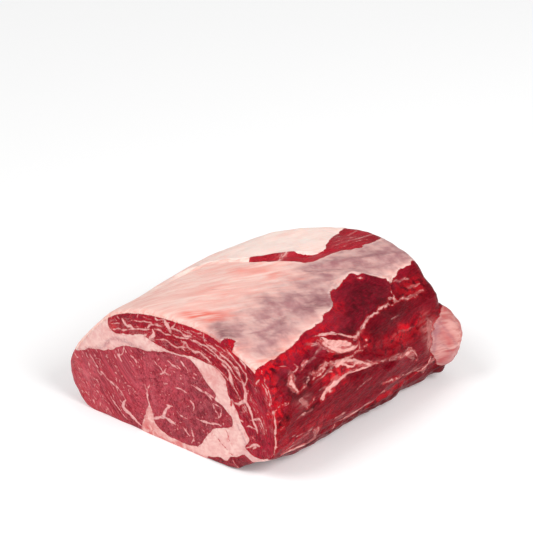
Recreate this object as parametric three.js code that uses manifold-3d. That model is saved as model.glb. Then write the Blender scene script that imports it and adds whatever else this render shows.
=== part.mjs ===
// A boneless ribeye roast: one thick block cut from the rib roll, lying on its flat underside.
// Millimetres, +Z up. The near cut face looks towards -Y and the exposed lean side towards +X.
// The origin is at the middle of the footprint, on the surface the roast rests on.
//
// Every muscle and layer of fat runs through the block, so each is a volume of its own that is
// cut out of the whole block: the far cut face then shows the same meat as the near one.

import * as THREE from 'three';
import { mergeVertices } from 'three/addons/utils/BufferGeometryUtils.js';
import Module from 'manifold-3d';

const wasm = await Module();
wasm.setup();

// ---------------------------------------------------------------- driving dimensions

const roastLength = 228;
const halfLength = roastLength / 2;
const roastHeight = 105;
const nearEdgeRound = 3.5;       // radius of the edge all round the near cut face
const farEdgeRound = 10;         // the far face has slumped, so its edge is rounder
const farFaceBow = { highest: 0.05, left: 7.0e-5, right: 4.0e-5, furthest: 18 };
const tissueGap = 0.3;           // clearance between neighbouring pieces of meat and fat
const overshoot = 12;            // how far a cutting volume reaches past the block

const topFatDepth = 3.2;         // fat over the cap muscle
const shoulderFatDepth = 15;     // fat on the left shoulder, between eye and cap
const ridgeDepth = 8.5;          // thickness of the folded flap of fat on the left shoulder
const stripDepth = 4.5;          // thickness of the thin red muscle that shows beside the flap
const bareDepth = -8;            // below zero: no fat over the lean there
const layerFloor = 40;           // the layers on top stay above this height

const farNarrowing = 0.12;       // how much narrower the muscles are at the far cut face
const farLift = 0.05;            // how much the muscles rise and fall along the block

// Outlines are (x, z) points of a smooth closed curve, anticlockwise seen from -Y,
// from the left end of the underside.
const nearOutline = [
  [-78, -4], [-40, -4], [0, -4], [40, -4], [64, -3], [86, 5], [98, 18], [103, 40], [101, 62],
  [94, 79], [80, 90], [60, 99], [38, 105], [8, 105], [-24, 101], [-52, 91], [-72, 74],
  [-90, 56], [-101, 40], [-103, 25], [-98, 11], [-90, 2],
];
const farOutline = [
  [-84, -4], [-40, -4], [0, -4], [40, -4], [72, -3], [90, 6], [98, 19], [102, 38], [98, 54],
  [87, 72], [72, 86], [54, 97], [30, 103], [4, 103], [-24, 99], [-54, 92], [-76, 80],
  [-92, 64], [-102, 44], [-104, 24], [-100, 10], [-94, 2],
];
const middleHeight = 48;         // the block's long middle, which its layers sink towards
const middlePull = 0.45;         // at a side, towards a middle this share of the way out

const eyeOutline = [
  [-120, 44], [-96, 45], [-80, 52], [-61, 57], [-45, 66], [-25, 69], [-4, 74], [18, 77],
  [27, 74], [38, 63], [46, 56], [45, 52], [54, 48], [62, 41], [58, 34], [46, 29], [38, 20],
  [30, 9], [16, 5], [-2, 6], [-14, 12], [-20, 25], [-27, 8], [-34, -8], [-70, -12], [-120, -12],
];
const capOutline = [
  [-60, 75], [-56, 90], [-36, 104], [0, 112], [40, 112], [70, 104], [90, 87], [96, 74],
  [99, 58], [100, 42], [99, 30], [92, 21], [80, 19], [77, 30], [70, 42], [61, 54], [55, 69],
  [42, 76], [20, 80], [0, 79], [-18, 80], [-40, 75],
];
const kernelOutline = [
  [-90, 42], [-92, 72], [-60, 88], [0, 96], [60, 90], [84, 70], [92, 40], [94, 22], [88, 12],
  [74, 4], [62, -10], [-30, -12], [-52, -8], [-44, 16], [0, 34],
];
const ribLeanOutline = [
  [48, -14], [50, 0], [58, 6], [70, 10], [84, 14], [90, 14], [88, 4], [84, -14],
];

// Plan outlines are (x, y) points of what lies on top: where the fat cover, the folded flap of
// fat and the thin red muscle beside it show.
const coverPlan = [
  [-130, -140], [88, -140], [85, -104], [84, -84], [79, -58], [75, -28], [71, -8], [60, -1],
  [53, 14], [51, 30], [57, 42], [66, 54], [68, 65], [65, 79], [64, 98], [64, 140], [-130, 140],
];
const ridgePlan = [
  [-66, -97], [-60, -68], [-56, -32], [-47, -10], [-25, 8], [-12, 28], [8, 38], [14, 50],
  [5, 70], [0, 86], [4, 104], [4, 140], [-98, 140], [-96, 60], [-93, 0], [-86, -60], [-76, -92],
];
const stripPlan = [
  [-36, -4], [-14, 2], [4, 10], [16, 24], [22, 44], [28, 60], [32, 78], [30, 100], [30, 140],
  [-20, 140], [-20, 80], [-34, 36],
];

// A lump of fat hangs on at the far right corner.
const endFatCentre = [90.5, 97, 32];
const endFatRadii = [14.6, 17, 29];
const lumpWaves = 0.06;

// Soft hills and hollows of the block: place and reach in millimetres, and how far each rises.
const hills = [
  { at: [20, -20, 104], reach: [34, 60, 30], rise: -1.6 },    // shallow valley along the top
  { at: [-72, -6, 84], reach: [24, 92, 26], rise: 5.8 },      // the flap's thick back
  { at: [62, -30, 94], reach: [20, 26, 20], rise: 1.8 },      // swelling over the cap
  { at: [70, 34, 92], reach: [22, 20, 22], rise: 3.0 },       // bared cap muscle, bulging
  { at: [90, 2, 72], reach: [16, 16, 14], rise: -2.8 },       // fold below it
  { at: [94, -34, 72], reach: [16, 18, 16], rise: 2.0 },      // patch of fat on the side
  { at: [100, -20, 34], reach: [20, 34, 20], rise: 2.4 },     // belly of the lean side
  { at: [98, 58, 36], reach: [20, 18, 40], rise: -3.0 },      // hollow before the end fat
  { at: [100, -94, 60], reach: [16, 13, 18], rise: -2.6 },    // torn hollow at the near corner
  { at: [90, -116, 2], reach: [26, 26, 16], rise: -11.0 },    // tucked-under near corner
  { at: [-104, -30, 24], reach: [20, 30, 18], rise: 1.2 },    // swelling of the left wall
  { at: [-100, 60, 40], reach: [20, 30, 20], rise: -1.8 },    // and the hollow behind it
];

// ---------------------------------------------------------------- mesh density

const roundSegments = 54;
const lengthSegments = 22;
const tissueSegments = 46;
const tissueSteps = 6;
const planSegments = 46;
const lumpSegments = 20;
const rowCrowding = 0.88;        // crowds the rows of the block towards its two cut edges

// ---------------------------------------------------------------- curves and helpers

// A smooth closed curve through flat points; its points are taken at even steps along it.
function closedCurve(points) {
  const corners = points.map(([across, up]) => new THREE.Vector3(across, up, 0));
  return new THREE.CatmullRomCurve3(corners, true, 'centripetal');
}

// Even points on a closed outline, moved outwards by `grow`.
function outlinePoints(points, count, grow) {
  const curve = closedCurve(points);
  const ring = curve.getSpacedPoints(count).slice(0, count);
  const turn = THREE.ShapeUtils.area(ring) > 0 ? 1 : -1;
  return ring.map((point, i) => {
    const before = ring[(i + count - 1) % count];
    const after = ring[(i + 1) % count];
    const along = new THREE.Vector2(after.x - before.x, after.y - before.y).normalize();
    return new THREE.Vector2(point.x + along.y * grow * turn, point.y - along.x * grow * turn);
  });
}

// The muscles get narrower towards the far end and rise and fall a little on the way.
function followMuscles(x, y, z) {
  const share = THREE.MathUtils.smoothstep(y, -halfLength, halfLength);
  const fromLeft = Math.max(x - nearOutline[0][0], 0);
  const narrowing = fromLeft * farNarrowing * share;
  const lift = farLift * Math.sin(Math.PI * share) * Math.max(z, 0);
  return [x - narrowing, y, z + lift];
}

function mapVertices(geometry, place) {
  const position = geometry.attributes.position;
  for (let i = 0; i < position.count; i++) {
    const [x, y, z] = place(position.getX(i), position.getY(i), position.getZ(i));
    position.setXYZ(i, x, y, z);
  }
  return geometry;
}

function toSolid(geometry) {
  geometry.deleteAttribute('normal');
  geometry.deleteAttribute('uv');
  const merged = mergeVertices(geometry, 1e-4);
  const mesh = new wasm.Mesh({
    numProp: 3,
    vertProperties: new Float32Array(merged.attributes.position.array),
    triVerts: new Uint32Array(merged.index.array),
  });
  return new wasm.Manifold(mesh);
}

function toGeometry(solid) {
  const mesh = solid.getMesh();
  const geometry = new THREE.BufferGeometry();
  geometry.setAttribute('position', new THREE.BufferAttribute(mesh.vertProperties, 3));
  geometry.setIndex(new THREE.BufferAttribute(mesh.triVerts, 1));
  geometry.computeVertexNormals();
  return geometry;
}

// ---------------------------------------------------------------- the whole block

const nearCurve = closedCurve(nearOutline);
const farCurve = closedCurve(farOutline);

function hillRise(x, y, z) {
  return hills.reduce((sum, { at, reach, rise }) => {
    const steps = [x - at[0], y - at[1], z - at[2]].map((step, axis) => step / reach[axis]);
    return sum + rise * Math.exp(-steps.reduce((square, step) => square + step * step, 0));
  }, 0);
}

// How deep the fat lies under the skin of the block at a point of its outline.
function fatDepth(x, z) {
  const onShoulder = THREE.MathUtils.smoothstep(-x, 44, 66);
  const covered = THREE.MathUtils.lerp(topFatDepth, shoulderFatDepth, onShoulder);
  const onTop = x < 0
    ? THREE.MathUtils.smoothstep(z, 20, 40)
    : THREE.MathUtils.smoothstep(z, 50, 66);
  return THREE.MathUtils.lerp(bareDepth, covered, onTop);
}

// How far the rounded edge of a cut face pulls the skin in at a distance y along the block.
function edgeRounding(y) {
  const radius = y < 0 ? nearEdgeRound : farEdgeRound;
  const reach = Math.max(radius - (halfLength - Math.abs(y)), 0);
  return radius - Math.sqrt(radius ** 2 - reach ** 2);
}

// The far face stands out most low down and right of the middle, and falls back all round it.
function bowFarFace(x, y, z) {
  const { highest, left, right, furthest } = farFaceBow;
  const fromFurthest = x - furthest;
  const sideways = fromFurthest ** 2 * (fromFurthest < 0 ? left : right);
  const share = Math.max(z, 0) / roastHeight;
  return [x, y - Math.max(y, 0) * share * (highest * share + sideways), z];
}

// A point of the block's skin, sunk by a depth towards the block's long middle.
function skinPoint(turn, y, depthAt) {
  const share = THREE.MathUtils.smoothstep(y, -halfLength, halfLength);
  const skin = nearCurve.getPointAt(turn).lerp(farCurve.getPointAt(turn), share);
  const middleX = skin.x * middlePull;
  const inwards = new THREE.Vector2(middleX - skin.x, middleHeight - skin.y).normalize();
  const sink = depthAt(skin.x, skin.y) - hillRise(skin.x, y, skin.y);
  return new THREE.Vector2(skin.x, skin.y).addScaledVector(inwards, sink);
}

// A cylinder whose rings are pulled onto the outlines; its rows crowd towards the cut faces.
function loftedCylinder(place) {
  const cylinder = new THREE.CylinderGeometry(1, 1, 1, roundSegments, lengthSegments);
  return toSolid(mapVertices(cylinder, (rimX, height, rimZ) => {
    const row = 0.5 - height;
    const crowded = row - (rowCrowding * Math.sin(2 * Math.PI * row)) / (2 * Math.PI);
    const turn = (Math.atan2(rimX, rimZ) / (2 * Math.PI) + 1) % 1;
    return place(turn, (crowded - 0.5) * roastLength, Math.hypot(rimX, rimZ));
  }));
}

function wholeBlock() {
  return loftedCylinder((turn, y, onWall) => {
    const skin = skinPoint(turn, y, () => edgeRounding(y));
    const height = Math.max(middleHeight + (skin.y - middleHeight) * onWall, 0);
    return bowFarFace(skin.x * onWall, y, height);
  });
}

// What is left of the block under a layer of some depth, reaching past both cut faces.
function blockUnder(depthAt) {
  return loftedCylinder((turn, y, onWall) => {
    const skin = skinPoint(turn, y, depthAt);
    const atFace = halfLength - Math.abs(y) < 0.001;
    const longY = y + Math.sign(y) * (atFace ? overshoot : 0);
    return bowFarFace(skin.x * onWall, longY, middleHeight + (skin.y - middleHeight) * onWall);
  });
}

// ---------------------------------------------------------------- tissue volumes

// A volume that runs the length of the block with one cross-section.
function runsThrough(outline, grow) {
  const shape = new THREE.Shape(outlinePoints(outline, tissueSegments, grow));
  const length = roastLength + 2 * overshoot;
  const prism = new THREE.ExtrudeGeometry(shape, {
    depth: length,
    steps: tissueSteps,
    bevelEnabled: false,
  });
  prism.rotateX(Math.PI / 2);
  prism.translate(0, length / 2, 0);
  return toSolid(mapVertices(prism, followMuscles));
}

// A layer of some depth under the skin, where a plan outline shows it from above.
function layerOver(plan, depthAt, grow) {
  const shape = new THREE.Shape(outlinePoints(plan, planSegments, grow));
  const prism = new THREE.ExtrudeGeometry(shape, { depth: roastHeight, bevelEnabled: false });
  prism.translate(0, 0, layerFloor);
  const under = blockUnder((x, z) => depthAt(x, z) + grow);
  return toSolid(prism).subtract(under);
}

function endLump(grow) {
  const lump = new THREE.SphereGeometry(1, lumpSegments, lumpSegments / 2);
  mapVertices(lump, (x, y, z) => {
    const swell = 1 + lumpWaves * Math.sin(3 * x + 2 * z) * Math.cos(2 * y);
    return [x, y, z].map((value, axis) => endFatCentre[axis] + value * swell
      * (endFatRadii[axis] + grow));
  });
  return toSolid(lump);
}

// ---------------------------------------------------------------- the pieces

const leanFinish = (color) => new THREE.MeshStandardMaterial({
  color, roughness: 0.4, metalness: 0,
});
const fatFinish = (color) => new THREE.MeshStandardMaterial({
  color, roughness: 0.45, metalness: 0,
});

// Each piece's finish and the volume it fills, which can be grown by a clearance.
const pieces = {
  end_fat: { finish: fatFinish(0xe6c3bb), volume: endLump },
  rib_lean: { finish: leanFinish(0x8a2230), volume: (grow) => runsThrough(ribLeanOutline, grow) },
  eye_muscle: { finish: leanFinish(0xa53a48), volume: (grow) => runsThrough(eyeOutline, grow) },
  fat_ridge: {
    finish: fatFinish(0xefd9cd),
    volume: (grow) => layerOver(ridgePlan, () => ridgeDepth, grow),
  },
  strip_muscle: {
    finish: leanFinish(0xb02434),
    volume: (grow) => layerOver(stripPlan, () => stripDepth, grow),
  },
  fat_cover: {
    finish: fatFinish(0xebc9c0),
    volume: (grow) => layerOver(coverPlan, fatDepth, grow),
  },
  cap_muscle: { finish: leanFinish(0x982b3a), volume: (grow) => runsThrough(capOutline, grow) },
  kernel_fat: { finish: fatFinish(0xe8c9c3), volume: (grow) => runsThrough(kernelOutline, grow) },
};

// Crumbs that a cut leaves beside a piece are dropped.
function largestBody(solid) {
  return solid.decompose().reduce((best, body) => (body.volume() > best.volume() ? body : best));
}

function namedMesh(name, finish, solid) {
  const mesh = new THREE.Mesh(toGeometry(largestBody(solid)), finish);
  mesh.name = name;
  return mesh;
}

// The pieces are cut out of the block in turn, and the lean side muscle is what is left. The
// lump of fat isn't cut from the block but sits on its corner, in a hollow of its own shape.
const roast = new THREE.Group();
let block = wholeBlock().add(endLump(0));
for (const [name, { finish, volume }] of Object.entries(pieces)) {
  roast.add(namedMesh(name, finish, block.intersect(volume(0))));
  block = block.subtract(volume(tissueGap));
}
roast.add(namedMesh('side_muscle', leanFinish(0xa41e2c), block));

export default roast;
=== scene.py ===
import math
import bmesh
import bpy
import numpy as np
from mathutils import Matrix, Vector
from mathutils.bvhtree import BVHTree
from mathutils.kdtree import KDTree


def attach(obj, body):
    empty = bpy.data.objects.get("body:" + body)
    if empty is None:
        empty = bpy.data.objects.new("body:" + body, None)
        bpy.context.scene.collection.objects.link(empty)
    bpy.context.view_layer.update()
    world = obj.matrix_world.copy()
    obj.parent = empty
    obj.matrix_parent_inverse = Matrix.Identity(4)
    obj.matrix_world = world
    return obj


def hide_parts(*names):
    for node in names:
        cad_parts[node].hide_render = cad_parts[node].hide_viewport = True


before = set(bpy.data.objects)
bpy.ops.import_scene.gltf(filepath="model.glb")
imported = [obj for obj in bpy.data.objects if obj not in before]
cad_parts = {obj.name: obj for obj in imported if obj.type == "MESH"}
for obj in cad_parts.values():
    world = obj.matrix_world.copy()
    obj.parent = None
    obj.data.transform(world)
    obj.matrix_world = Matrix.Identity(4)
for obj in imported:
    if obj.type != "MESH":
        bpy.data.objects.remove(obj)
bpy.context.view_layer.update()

# ------------------------------------------------------------------ the uncut roast
# A boneless ribeye roast is one block of beef between two straight knife cuts.
# Its skin is shaped whole, so that muscle and fat meet on it without a step, and
# the tissues are then divided out of it one by one, as they lie in the animal.
MM = 0.001
FACE_Y = 114.0
SKIN_CELL = 1.1
CORE_CELL = 3.0
CLOSING = 0.25
WELD = 0.001
SKIN_PASSES = 60
SOFT_LEVELS = 12.0
CRISP_EDGE = (2.0, 13.0)
CRISP_SHARE = 0.16
FACE_SOFTENING = 0.3
FACE_FACING = 0.8
CUT_FACING = 0.72
CUT_FROM = 90.0
SIDE_RISE = 0.09
FACE_TURN = (0.55, 0.85)
SIDE_FROM = (48.0, 82.0)
TOP_FROM = (60.0, 85.0)
FIBRES_BELOW = (88.0, 70.0)
FIBRE_HEIGHT = 0.55
LOW_BELOW = (26.0, 6.0)
LOW_HEIGHT = 0.9
RESTING = 0.4
SWAY = 1.6
FOLD_REACH = 3.0
FOLD_TAPER = 0.75
FOLD_UNEVEN = 0.45
FOLDS_ON_FACE = 0.85
RAGS_ON_FACE = 0.9


def smooth(low, high, value):
    share = np.clip((value - low) / (high - low), 0.0, 1.0)
    return share * share * (3.0 - 2.0 * share)


def vertex_rows(mesh):
    rows = np.empty(len(mesh.vertices) * 3, dtype=np.float32)
    mesh.vertices.foreach_get("co", rows)
    return rows.reshape(-1, 3).astype(np.float64) / MM


def normal_rows(mesh):
    rows = np.empty(len(mesh.vertices) * 3, dtype=np.float32)
    mesh.vertex_normals.foreach_get("vector", rows)
    return rows.reshape(-1, 3).astype(np.float64)


def set_rows(mesh, rows):
    mesh.vertices.foreach_set("co", (rows * MM).astype(np.float32).ravel())
    mesh.update()


def open_form(mesh):
    form = bmesh.new()
    form.from_mesh(mesh)
    return form


def close_form(form, mesh):
    form.to_mesh(mesh)
    form.free()
    return mesh


def mesh_from(form, name):
    return close_form(form, bpy.data.meshes.new(name))


def new_object(name, data):
    obj = bpy.data.objects.new(name, data)
    bpy.context.scene.collection.objects.link(obj)
    return obj


def take_modifiers(*objects):
    # each object's mesh becomes what its modifiers make of it
    depsgraph = bpy.context.evaluated_depsgraph_get()
    made = [bpy.data.meshes.new_from_object(obj.evaluated_get(depsgraph))
            for obj in objects]
    for obj, mesh in zip(objects, made):
        obj.modifiers.clear()
        spent, obj.data = obj.data, mesh
        bpy.data.meshes.remove(spent)


def voxel_skin(obj, cell):
    skin = obj.modifiers.new("skin", "REMESH")
    skin.mode = "VOXEL"
    skin.voxel_size = cell * MM
    take_modifiers(obj)


def drop_scraps(obj, smallest):
    # shells with less than that share of the largest one's vertices are taken away
    form = open_form(obj.data)
    waiting = set(form.verts)
    shells = []
    while waiting:
        shell = []
        stack = [waiting.pop()]
        while stack:
            vert = stack.pop()
            shell.append(vert)
            for edge in vert.link_edges:
                other = edge.other_vert(vert)
                if other in waiting:
                    waiting.remove(other)
                    stack.append(other)
        shells.append(shell)
    most = max(len(shell) for shell in shells)
    for shell in shells:
        if len(shell) < smallest * most:
            bmesh.ops.delete(form, geom=shell, context="VERTS")
    close_form(form, obj.data)


ORDER = np.random.default_rng(11)
LATTICE_ORDER = ORDER.permutation(256)
LATTICE_SLOPES = ORDER.normal(size=(256, 3))
LATTICE_SLOPES /= np.linalg.norm(LATTICE_SLOPES, axis=1)[:, None]


def ripple(points, wavelength, seed=0):
    # smooth noise of about -1 to 1, from random slopes on a lattice
    place = points / np.asarray(wavelength, dtype=float) + seed * 13.7
    cell = np.floor(place).astype(int)
    part = place - cell
    ease_in = part * part * part * (part * (part * 6.0 - 15.0) + 10.0)
    total = np.zeros(len(points))
    for dx in (0, 1):
        for dy in (0, 1):
            for dz in (0, 1):
                spot = LATTICE_ORDER[(cell[:, 0] + dx) % 256]
                spot = LATTICE_ORDER[(spot + cell[:, 1] + dy) % 256]
                spot = LATTICE_ORDER[(spot + cell[:, 2] + dz) % 256]
                away = part - (dx, dy, dz)
                weight = np.abs(1 - dx - ease_in[:, 0])
                weight = weight * np.abs(1 - dy - ease_in[:, 1])
                weight = weight * np.abs(1 - dz - ease_in[:, 2])
                total += weight * (LATTICE_SLOPES[spot] * away).sum(axis=1)
    return total * 1.8


def ripples(points, wavelength, seed):
    # a push in each direction, from three ripples
    return np.stack([ripple(points, wavelength, seed + turn) for turn in range(3)],
                    axis=1)


def uncut_roast():
    # the solids of the frame, grown over the gaps between them and made one skin
    shell = bmesh.new()
    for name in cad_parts:
        tissue = open_form(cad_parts[name].data)
        bmesh.ops.remove_doubles(tissue, verts=tissue.verts, dist=WELD * MM)
        tissue.normal_update()
        for vert in tissue.verts:
            vert.co += vert.normal * CLOSING * MM
        grown = mesh_from(tissue, "grown")
        shell.from_mesh(grown)
        bpy.data.meshes.remove(grown)
    obj = new_object("roast", mesh_from(shell, "roast"))
    voxel_skin(obj, SKIN_CELL)
    drop_scraps(obj, 1.0)
    return obj


def soften_skin(obj):
    # the knife cuts keep their edges, and the rest loses the marks of its facets
    rows = vertex_rows(obj.data)
    flat = np.abs(normal_rows(obj.data)[:, 1]) > FACE_FACING
    share = smooth(CRISP_EDGE[0], CRISP_EDGE[1], FACE_Y - np.abs(rows[:, 1]))
    share = CRISP_SHARE + (1.0 - CRISP_SHARE) * np.where(flat, FACE_SOFTENING, share)
    group = obj.vertex_groups.new(name="softening")
    levels = np.round(share * SOFT_LEVELS) / SOFT_LEVELS
    for level in np.unique(levels):
        chosen = np.nonzero(levels == level)[0].tolist()
        group.add(chosen, float(level), "REPLACE")
    soften = obj.modifiers.new("soften", "SMOOTH")
    soften.factor = 0.5
    soften.iterations = SKIN_PASSES
    soften.vertex_group = "softening"
    take_modifiers(obj)
    obj.vertex_groups.clear()


def refine_cut_faces(obj):
    # the marbling of the cuts needs a finer mesh than the rest
    form = open_form(obj.data)
    form.normal_update()
    cut = [face for face in form.faces
           if abs(face.normal.y) > CUT_FACING
           and abs(face.calc_center_median().y) > CUT_FROM * MM]
    edges = list({edge for face in cut for edge in face.edges})
    bmesh.ops.subdivide_edges(form, edges=edges, cuts=1, use_grid_fill=True)
    close_form(form, obj.data)


def curve_through(points, count, closed=True):
    # a smooth line through the given points, sampled evenly in each span
    knots = [np.array(point, dtype=float) for point in points]
    total = len(knots)
    line = []
    for span in range(total if closed else total - 1):
        if closed:
            four = [knots[(span + shift) % total] for shift in (-1, 0, 1, 2)]
        else:
            four = [knots[min(max(span + shift, 0), total - 1)]
                    for shift in (-1, 0, 1, 2)]
        for step in range(count):
            t = step / count
            bend = 2.0 * four[0] - 5.0 * four[1] + 4.0 * four[2] - four[3]
            twist = 3.0 * four[1] - four[0] - 3.0 * four[2] + four[3]
            line.append(0.5 * (2.0 * four[1] + (four[2] - four[0]) * t
                               + bend * t ** 2 + twist * t ** 3))
    if not closed:
        line.append(knots[-1])
    return np.array(line)


def laid_on_skin(line, spacing=3):
    # a smooth line through the points, laid down on the skin of the roast
    laid = []
    for point in curve_through(line, spacing, closed=False):
        spot = skin_tree.find_nearest(Vector(point * MM))[0]
        laid.append(np.array(spot) / MM)
    return np.array(laid)


# tears of the side, which sink the skin, with painted shade laid along them
TEAR_ABOVE = [(94, -110, 78), (92, -103, 81), (88, -98, 84)]
TEAR_MIDDLE = [(98, -112, 66), (98, -107, 70), (96, -101, 74)]
TEAR_BELOW = [(102, -112, 50), (103, -107, 51), (103, -102, 54), (101, -96, 59)]
TEAR_BEHIND = [(83, -62, 88), (88, -60, 84), (92, -62, 80), (94, -70, 78)]
TEAR_DOWN = [(94, -58, 76), (97, -64, 71), (99, -74, 66)]
TEAR_REAR = [(96, 8, 62), (98, 30, 60), (97, 50, 58), (96, 66, 58)]

# folds and ridges of the skin, in mm: height, half width, and the line they follow
FOLDS = [
    (-2.2, 3.0, [(-38, -4, 97), (-25, 4, 100), (-13, 14, 102), (-4, 22, 102)]),
    (-1.0, 3.0, [(-4, 24, 102), (6, 32, 103), (14, 44, 103), (20, 56, 102)]),
    (1.6, 3.0, [(-62, -40, 88), (-50, -14, 94), (-37, 0, 98), (-25, 9, 101),
                (-14, 20, 102), (-5, 30, 103), (6, 38, 103), (12, 48, 103)]),
    (0.9, 2.6, [(-14, 0, 102), (-2, 7, 103), (8, 14, 103), (16, 22, 103)]),
    (-3.0, 7.0, [(99, 92, 62), (97, 106, 60)]),
    (-1.6, 3.2, [(-58, -70, 86), (-56, -44, 88), (-50, -18, 94)]),
    (1.5, 2.4, [(84, -106, 88), (83, -86, 87), (82, -72, 88), (78, -57, 90),
                (76, -43, 91), (75, -29, 91), (73, -17, 92), (68, -8, 94)]),
    (1.7, 2.4, [(68, -8, 94), (60, -2, 97), (54, 8, 99), (51, 20, 99), (50, 32, 99),
                (53, 40, 99), (60, 46, 96), (65, 56, 92), (66, 66, 90)]),
    (-1.5, 2.6, [(76, -6, 90), (66, 2, 95), (59, 12, 97), (57, 24, 98), (58, 36, 97),
                 (64, 42, 94), (70, 52, 90)]),
    (-2.2, 3.2, [(68, 66, 90), (74, 60, 86), (80, 52, 82), (84, 41, 80), (83, 28, 83),
                 (84, 16, 82), (86, 5, 79), (87, -10, 78)]),
    (1.5, 4.0, [(80, 64, 80), (87, 52, 77), (90, 40, 75), (90, 26, 77), (91, 10, 75)]),
    (2.0, 5.5, [(84, -56, 86), (87, -42, 84), (89, -28, 81), (90, -12, 77),
                (88, 0, 77)]),
    (-2.2, 2.6, [(88, -60, 80), (93, -46, 75), (96, -32, 71), (97, -16, 69),
                 (97, 0, 63), (99, 14, 56)]),
    (1.6, 3.4, [(96, -54, 70), (98, -34, 66), (100, -18, 61), (101, 0, 56),
                (101, 14, 52)]),
    (-2.0, 2.8, [(101, -78, 50), (102, -62, 52), (101, -46, 55), (101, -28, 56),
                 (102, -8, 52), (102, 10, 48), (102, 28, 44)]),
    (1.8, 3.0, [(101, 20, 52), (101, 32, 50), (100, 44, 46), (100, 54, 38)]),
    (-2.4, 3.4, [(92, -108, 80), (95, -100, 74), (98, -100, 64), (100, -104, 54),
                 (101, -110, 44)]),
    (1.8, 3.0, [(98, -92, 68), (100, -96, 58), (102, -102, 48), (102, -108, 40)]),
    (-1.6, 2.6, [(90, -88, 83), (94, -80, 77), (96, -70, 73)]),
    (1.3, 2.6, [(87, -96, 85), (91, -86, 81), (93, -74, 78)]),
    (-1.8, 2.8, [(101, -60, 22), (101, -40, 20), (101, -20, 17), (101, 0, 19),
                 (102, 20, 21), (102, 44, 19), (100, 62, 20)]),
    (1.4, 3.4, [(103, -50, 30), (103, -30, 27), (103, -8, 28), (103, 14, 30),
                (102, 36, 28)]),
    (-1.8, 2.6, [(82, 50, 80), (81, 62, 80), (82, 76, 78), (84, 88, 75)]),
    (-1.8, 2.6, [(96, 77, 60), (99, 77, 52), (100, 74, 42), (101, 76, 32), (101, 82, 24)]),
    (-1.8, 4.0, [(54, -62, 101), (58, -44, 99), (57, -30, 99), (64, -14, 96)]),
    (-1.4, 4.0, [(26, 20, 103), (38, 32, 102), (46, 48, 100)]),
    (1.0, 5.0, [(50, -40, 102), (52, -26, 101), (58, -14, 98)]),
    (-1.0, 2.4, [(62, -92, 98), (64, -78, 97), (62, -64, 98), (58, -52, 99)]),
    (0.9, 3.0, [(68, -92, 95), (70, -78, 95), (68, -64, 95), (63, -52, 97)]),
    (-0.9, 2.6, [(38, -106, 104), (46, -100, 103), (52, -92, 102)]),
    (1.0, 3.4, [(28, 22, 103), (34, 40, 103), (42, 56, 102), (48, 72, 100),
                (52, 90, 98)]),
    (-1.4, 3.0, [(-97, -100, 47), (-99, -60, 47), (-100, -20, 46), (-99, 30, 46),
                 (-97, 80, 46)]),
    (-1.5, 3.0, [(-20, -112, 2), (-24, -60, 0), (-22, 0, 0), (-20, 60, 0)]),
    (3.2, 14.0, [(60, 96, 95), (72, 98, 87), (84, 102, 76), (92, 104, 64)]),
    (1.3, 12.0, [(-50, 56, 94), (-40, 68, 96), (-30, 80, 98)]),
    (-1.4, 11.0, [(-8, 84, 102), (12, 94, 103), (34, 96, 102)]),
    (1.4, 12.0, [(-98, -108, 36), (-98, -106, 20)]),
    (-2.6, 7.0, [(38, -113, 2), (50, -113, 2), (56, -104, 0)]),
    (-1.7, 9.0, [(98, -24, 10), (97, 2, 8)]),
    (1.8, 9.0, [(93, 22, 9), (91, 44, 7)]),
    (2.2, 10.0, [(89, 62, 7), (91, 82, 8)]),
    (4.6, 12.0, [(104, 98, 50), (105, 100, 38)]),
    (-2.6, 8.0, [(101, 98, 13), (97, 104, 7)]),
    (1.8, 2.6, [(95, 20, 65), (95, 34, 64), (94, 48, 62), (93, 60, 62), (91, 70, 67)]),
    (-1.6, 3.0, TEAR_REAR),
    (1.6, 4.0, [(83, -52, 86), (86, -40, 83), (88, -30, 81), (91, -22, 77)]),
    (1.4, 2.0, [(82, -105, 90), (83, -92, 88), (81, -74, 88)]),
    (-2.0, 2.0, TEAR_ABOVE),
    (-2.2, 2.2, TEAR_MIDDLE),
    (1.6, 1.8, [(102, -112, 54), (102, -107, 56), (101, -103, 59), (99, -97, 62)]),
    (-1.8, 2.2, TEAR_BELOW),
    (1.3, 2.0, [(102, -112, 45), (103, -108, 46), (103, -103, 49)]),
    (-1.6, 2.4, TEAR_BEHIND),
    (-1.4, 2.2, TEAR_DOWN),
    (1.2, 2.4, [(90, -88, 82), (94, -88, 77), (97, -89, 70), (98, -87, 65)])]

# torn places: middle, reach and height of the rags
RAGS = [
    ((98, -106, 66), (9, 11, 20), 2.2), ((93, -78, 78), (9, 30, 9), 0.8),
    ((100, -62, 58), (8, 40, 12), 0.5), ((100, 10, 12), (12, 110, 9), 1.1),
    ((93, -4, 69), (7, 11, 8), 1.2), ((84, -70, 87), (6, 36, 5), 0.8),
    ((58, 20, 98), (9, 44, 6), 0.5), ((98, 78, 50), (7, 8, 20), 1.0),
    ((84, 70, 77), (10, 34, 10), 0.5), ((60, -110, 99), (8, 8, 6), 0.8)]

# low relief: where it lies, its height, its wavelengths and its seed
WAVES = [
    ("side", 0.9, (16, 24, 14), 12), ("flat", 0.25, (14, 20, 14), 3),
    ("flat", 0.12, (4, 20, 4), 4), ("top", 0.75, (22, 34, 22), 8),
    ("top", 0.3, (7, 20, 7), 9), ("rest", 0.5, (14, 30, 12), 10)]


def rows_near(rows, laid, reach):
    low = laid.min(axis=0) - reach
    high = laid.max(axis=0) + reach
    return np.nonzero(((rows > low) & (rows < high)).all(axis=1))[0]


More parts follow.
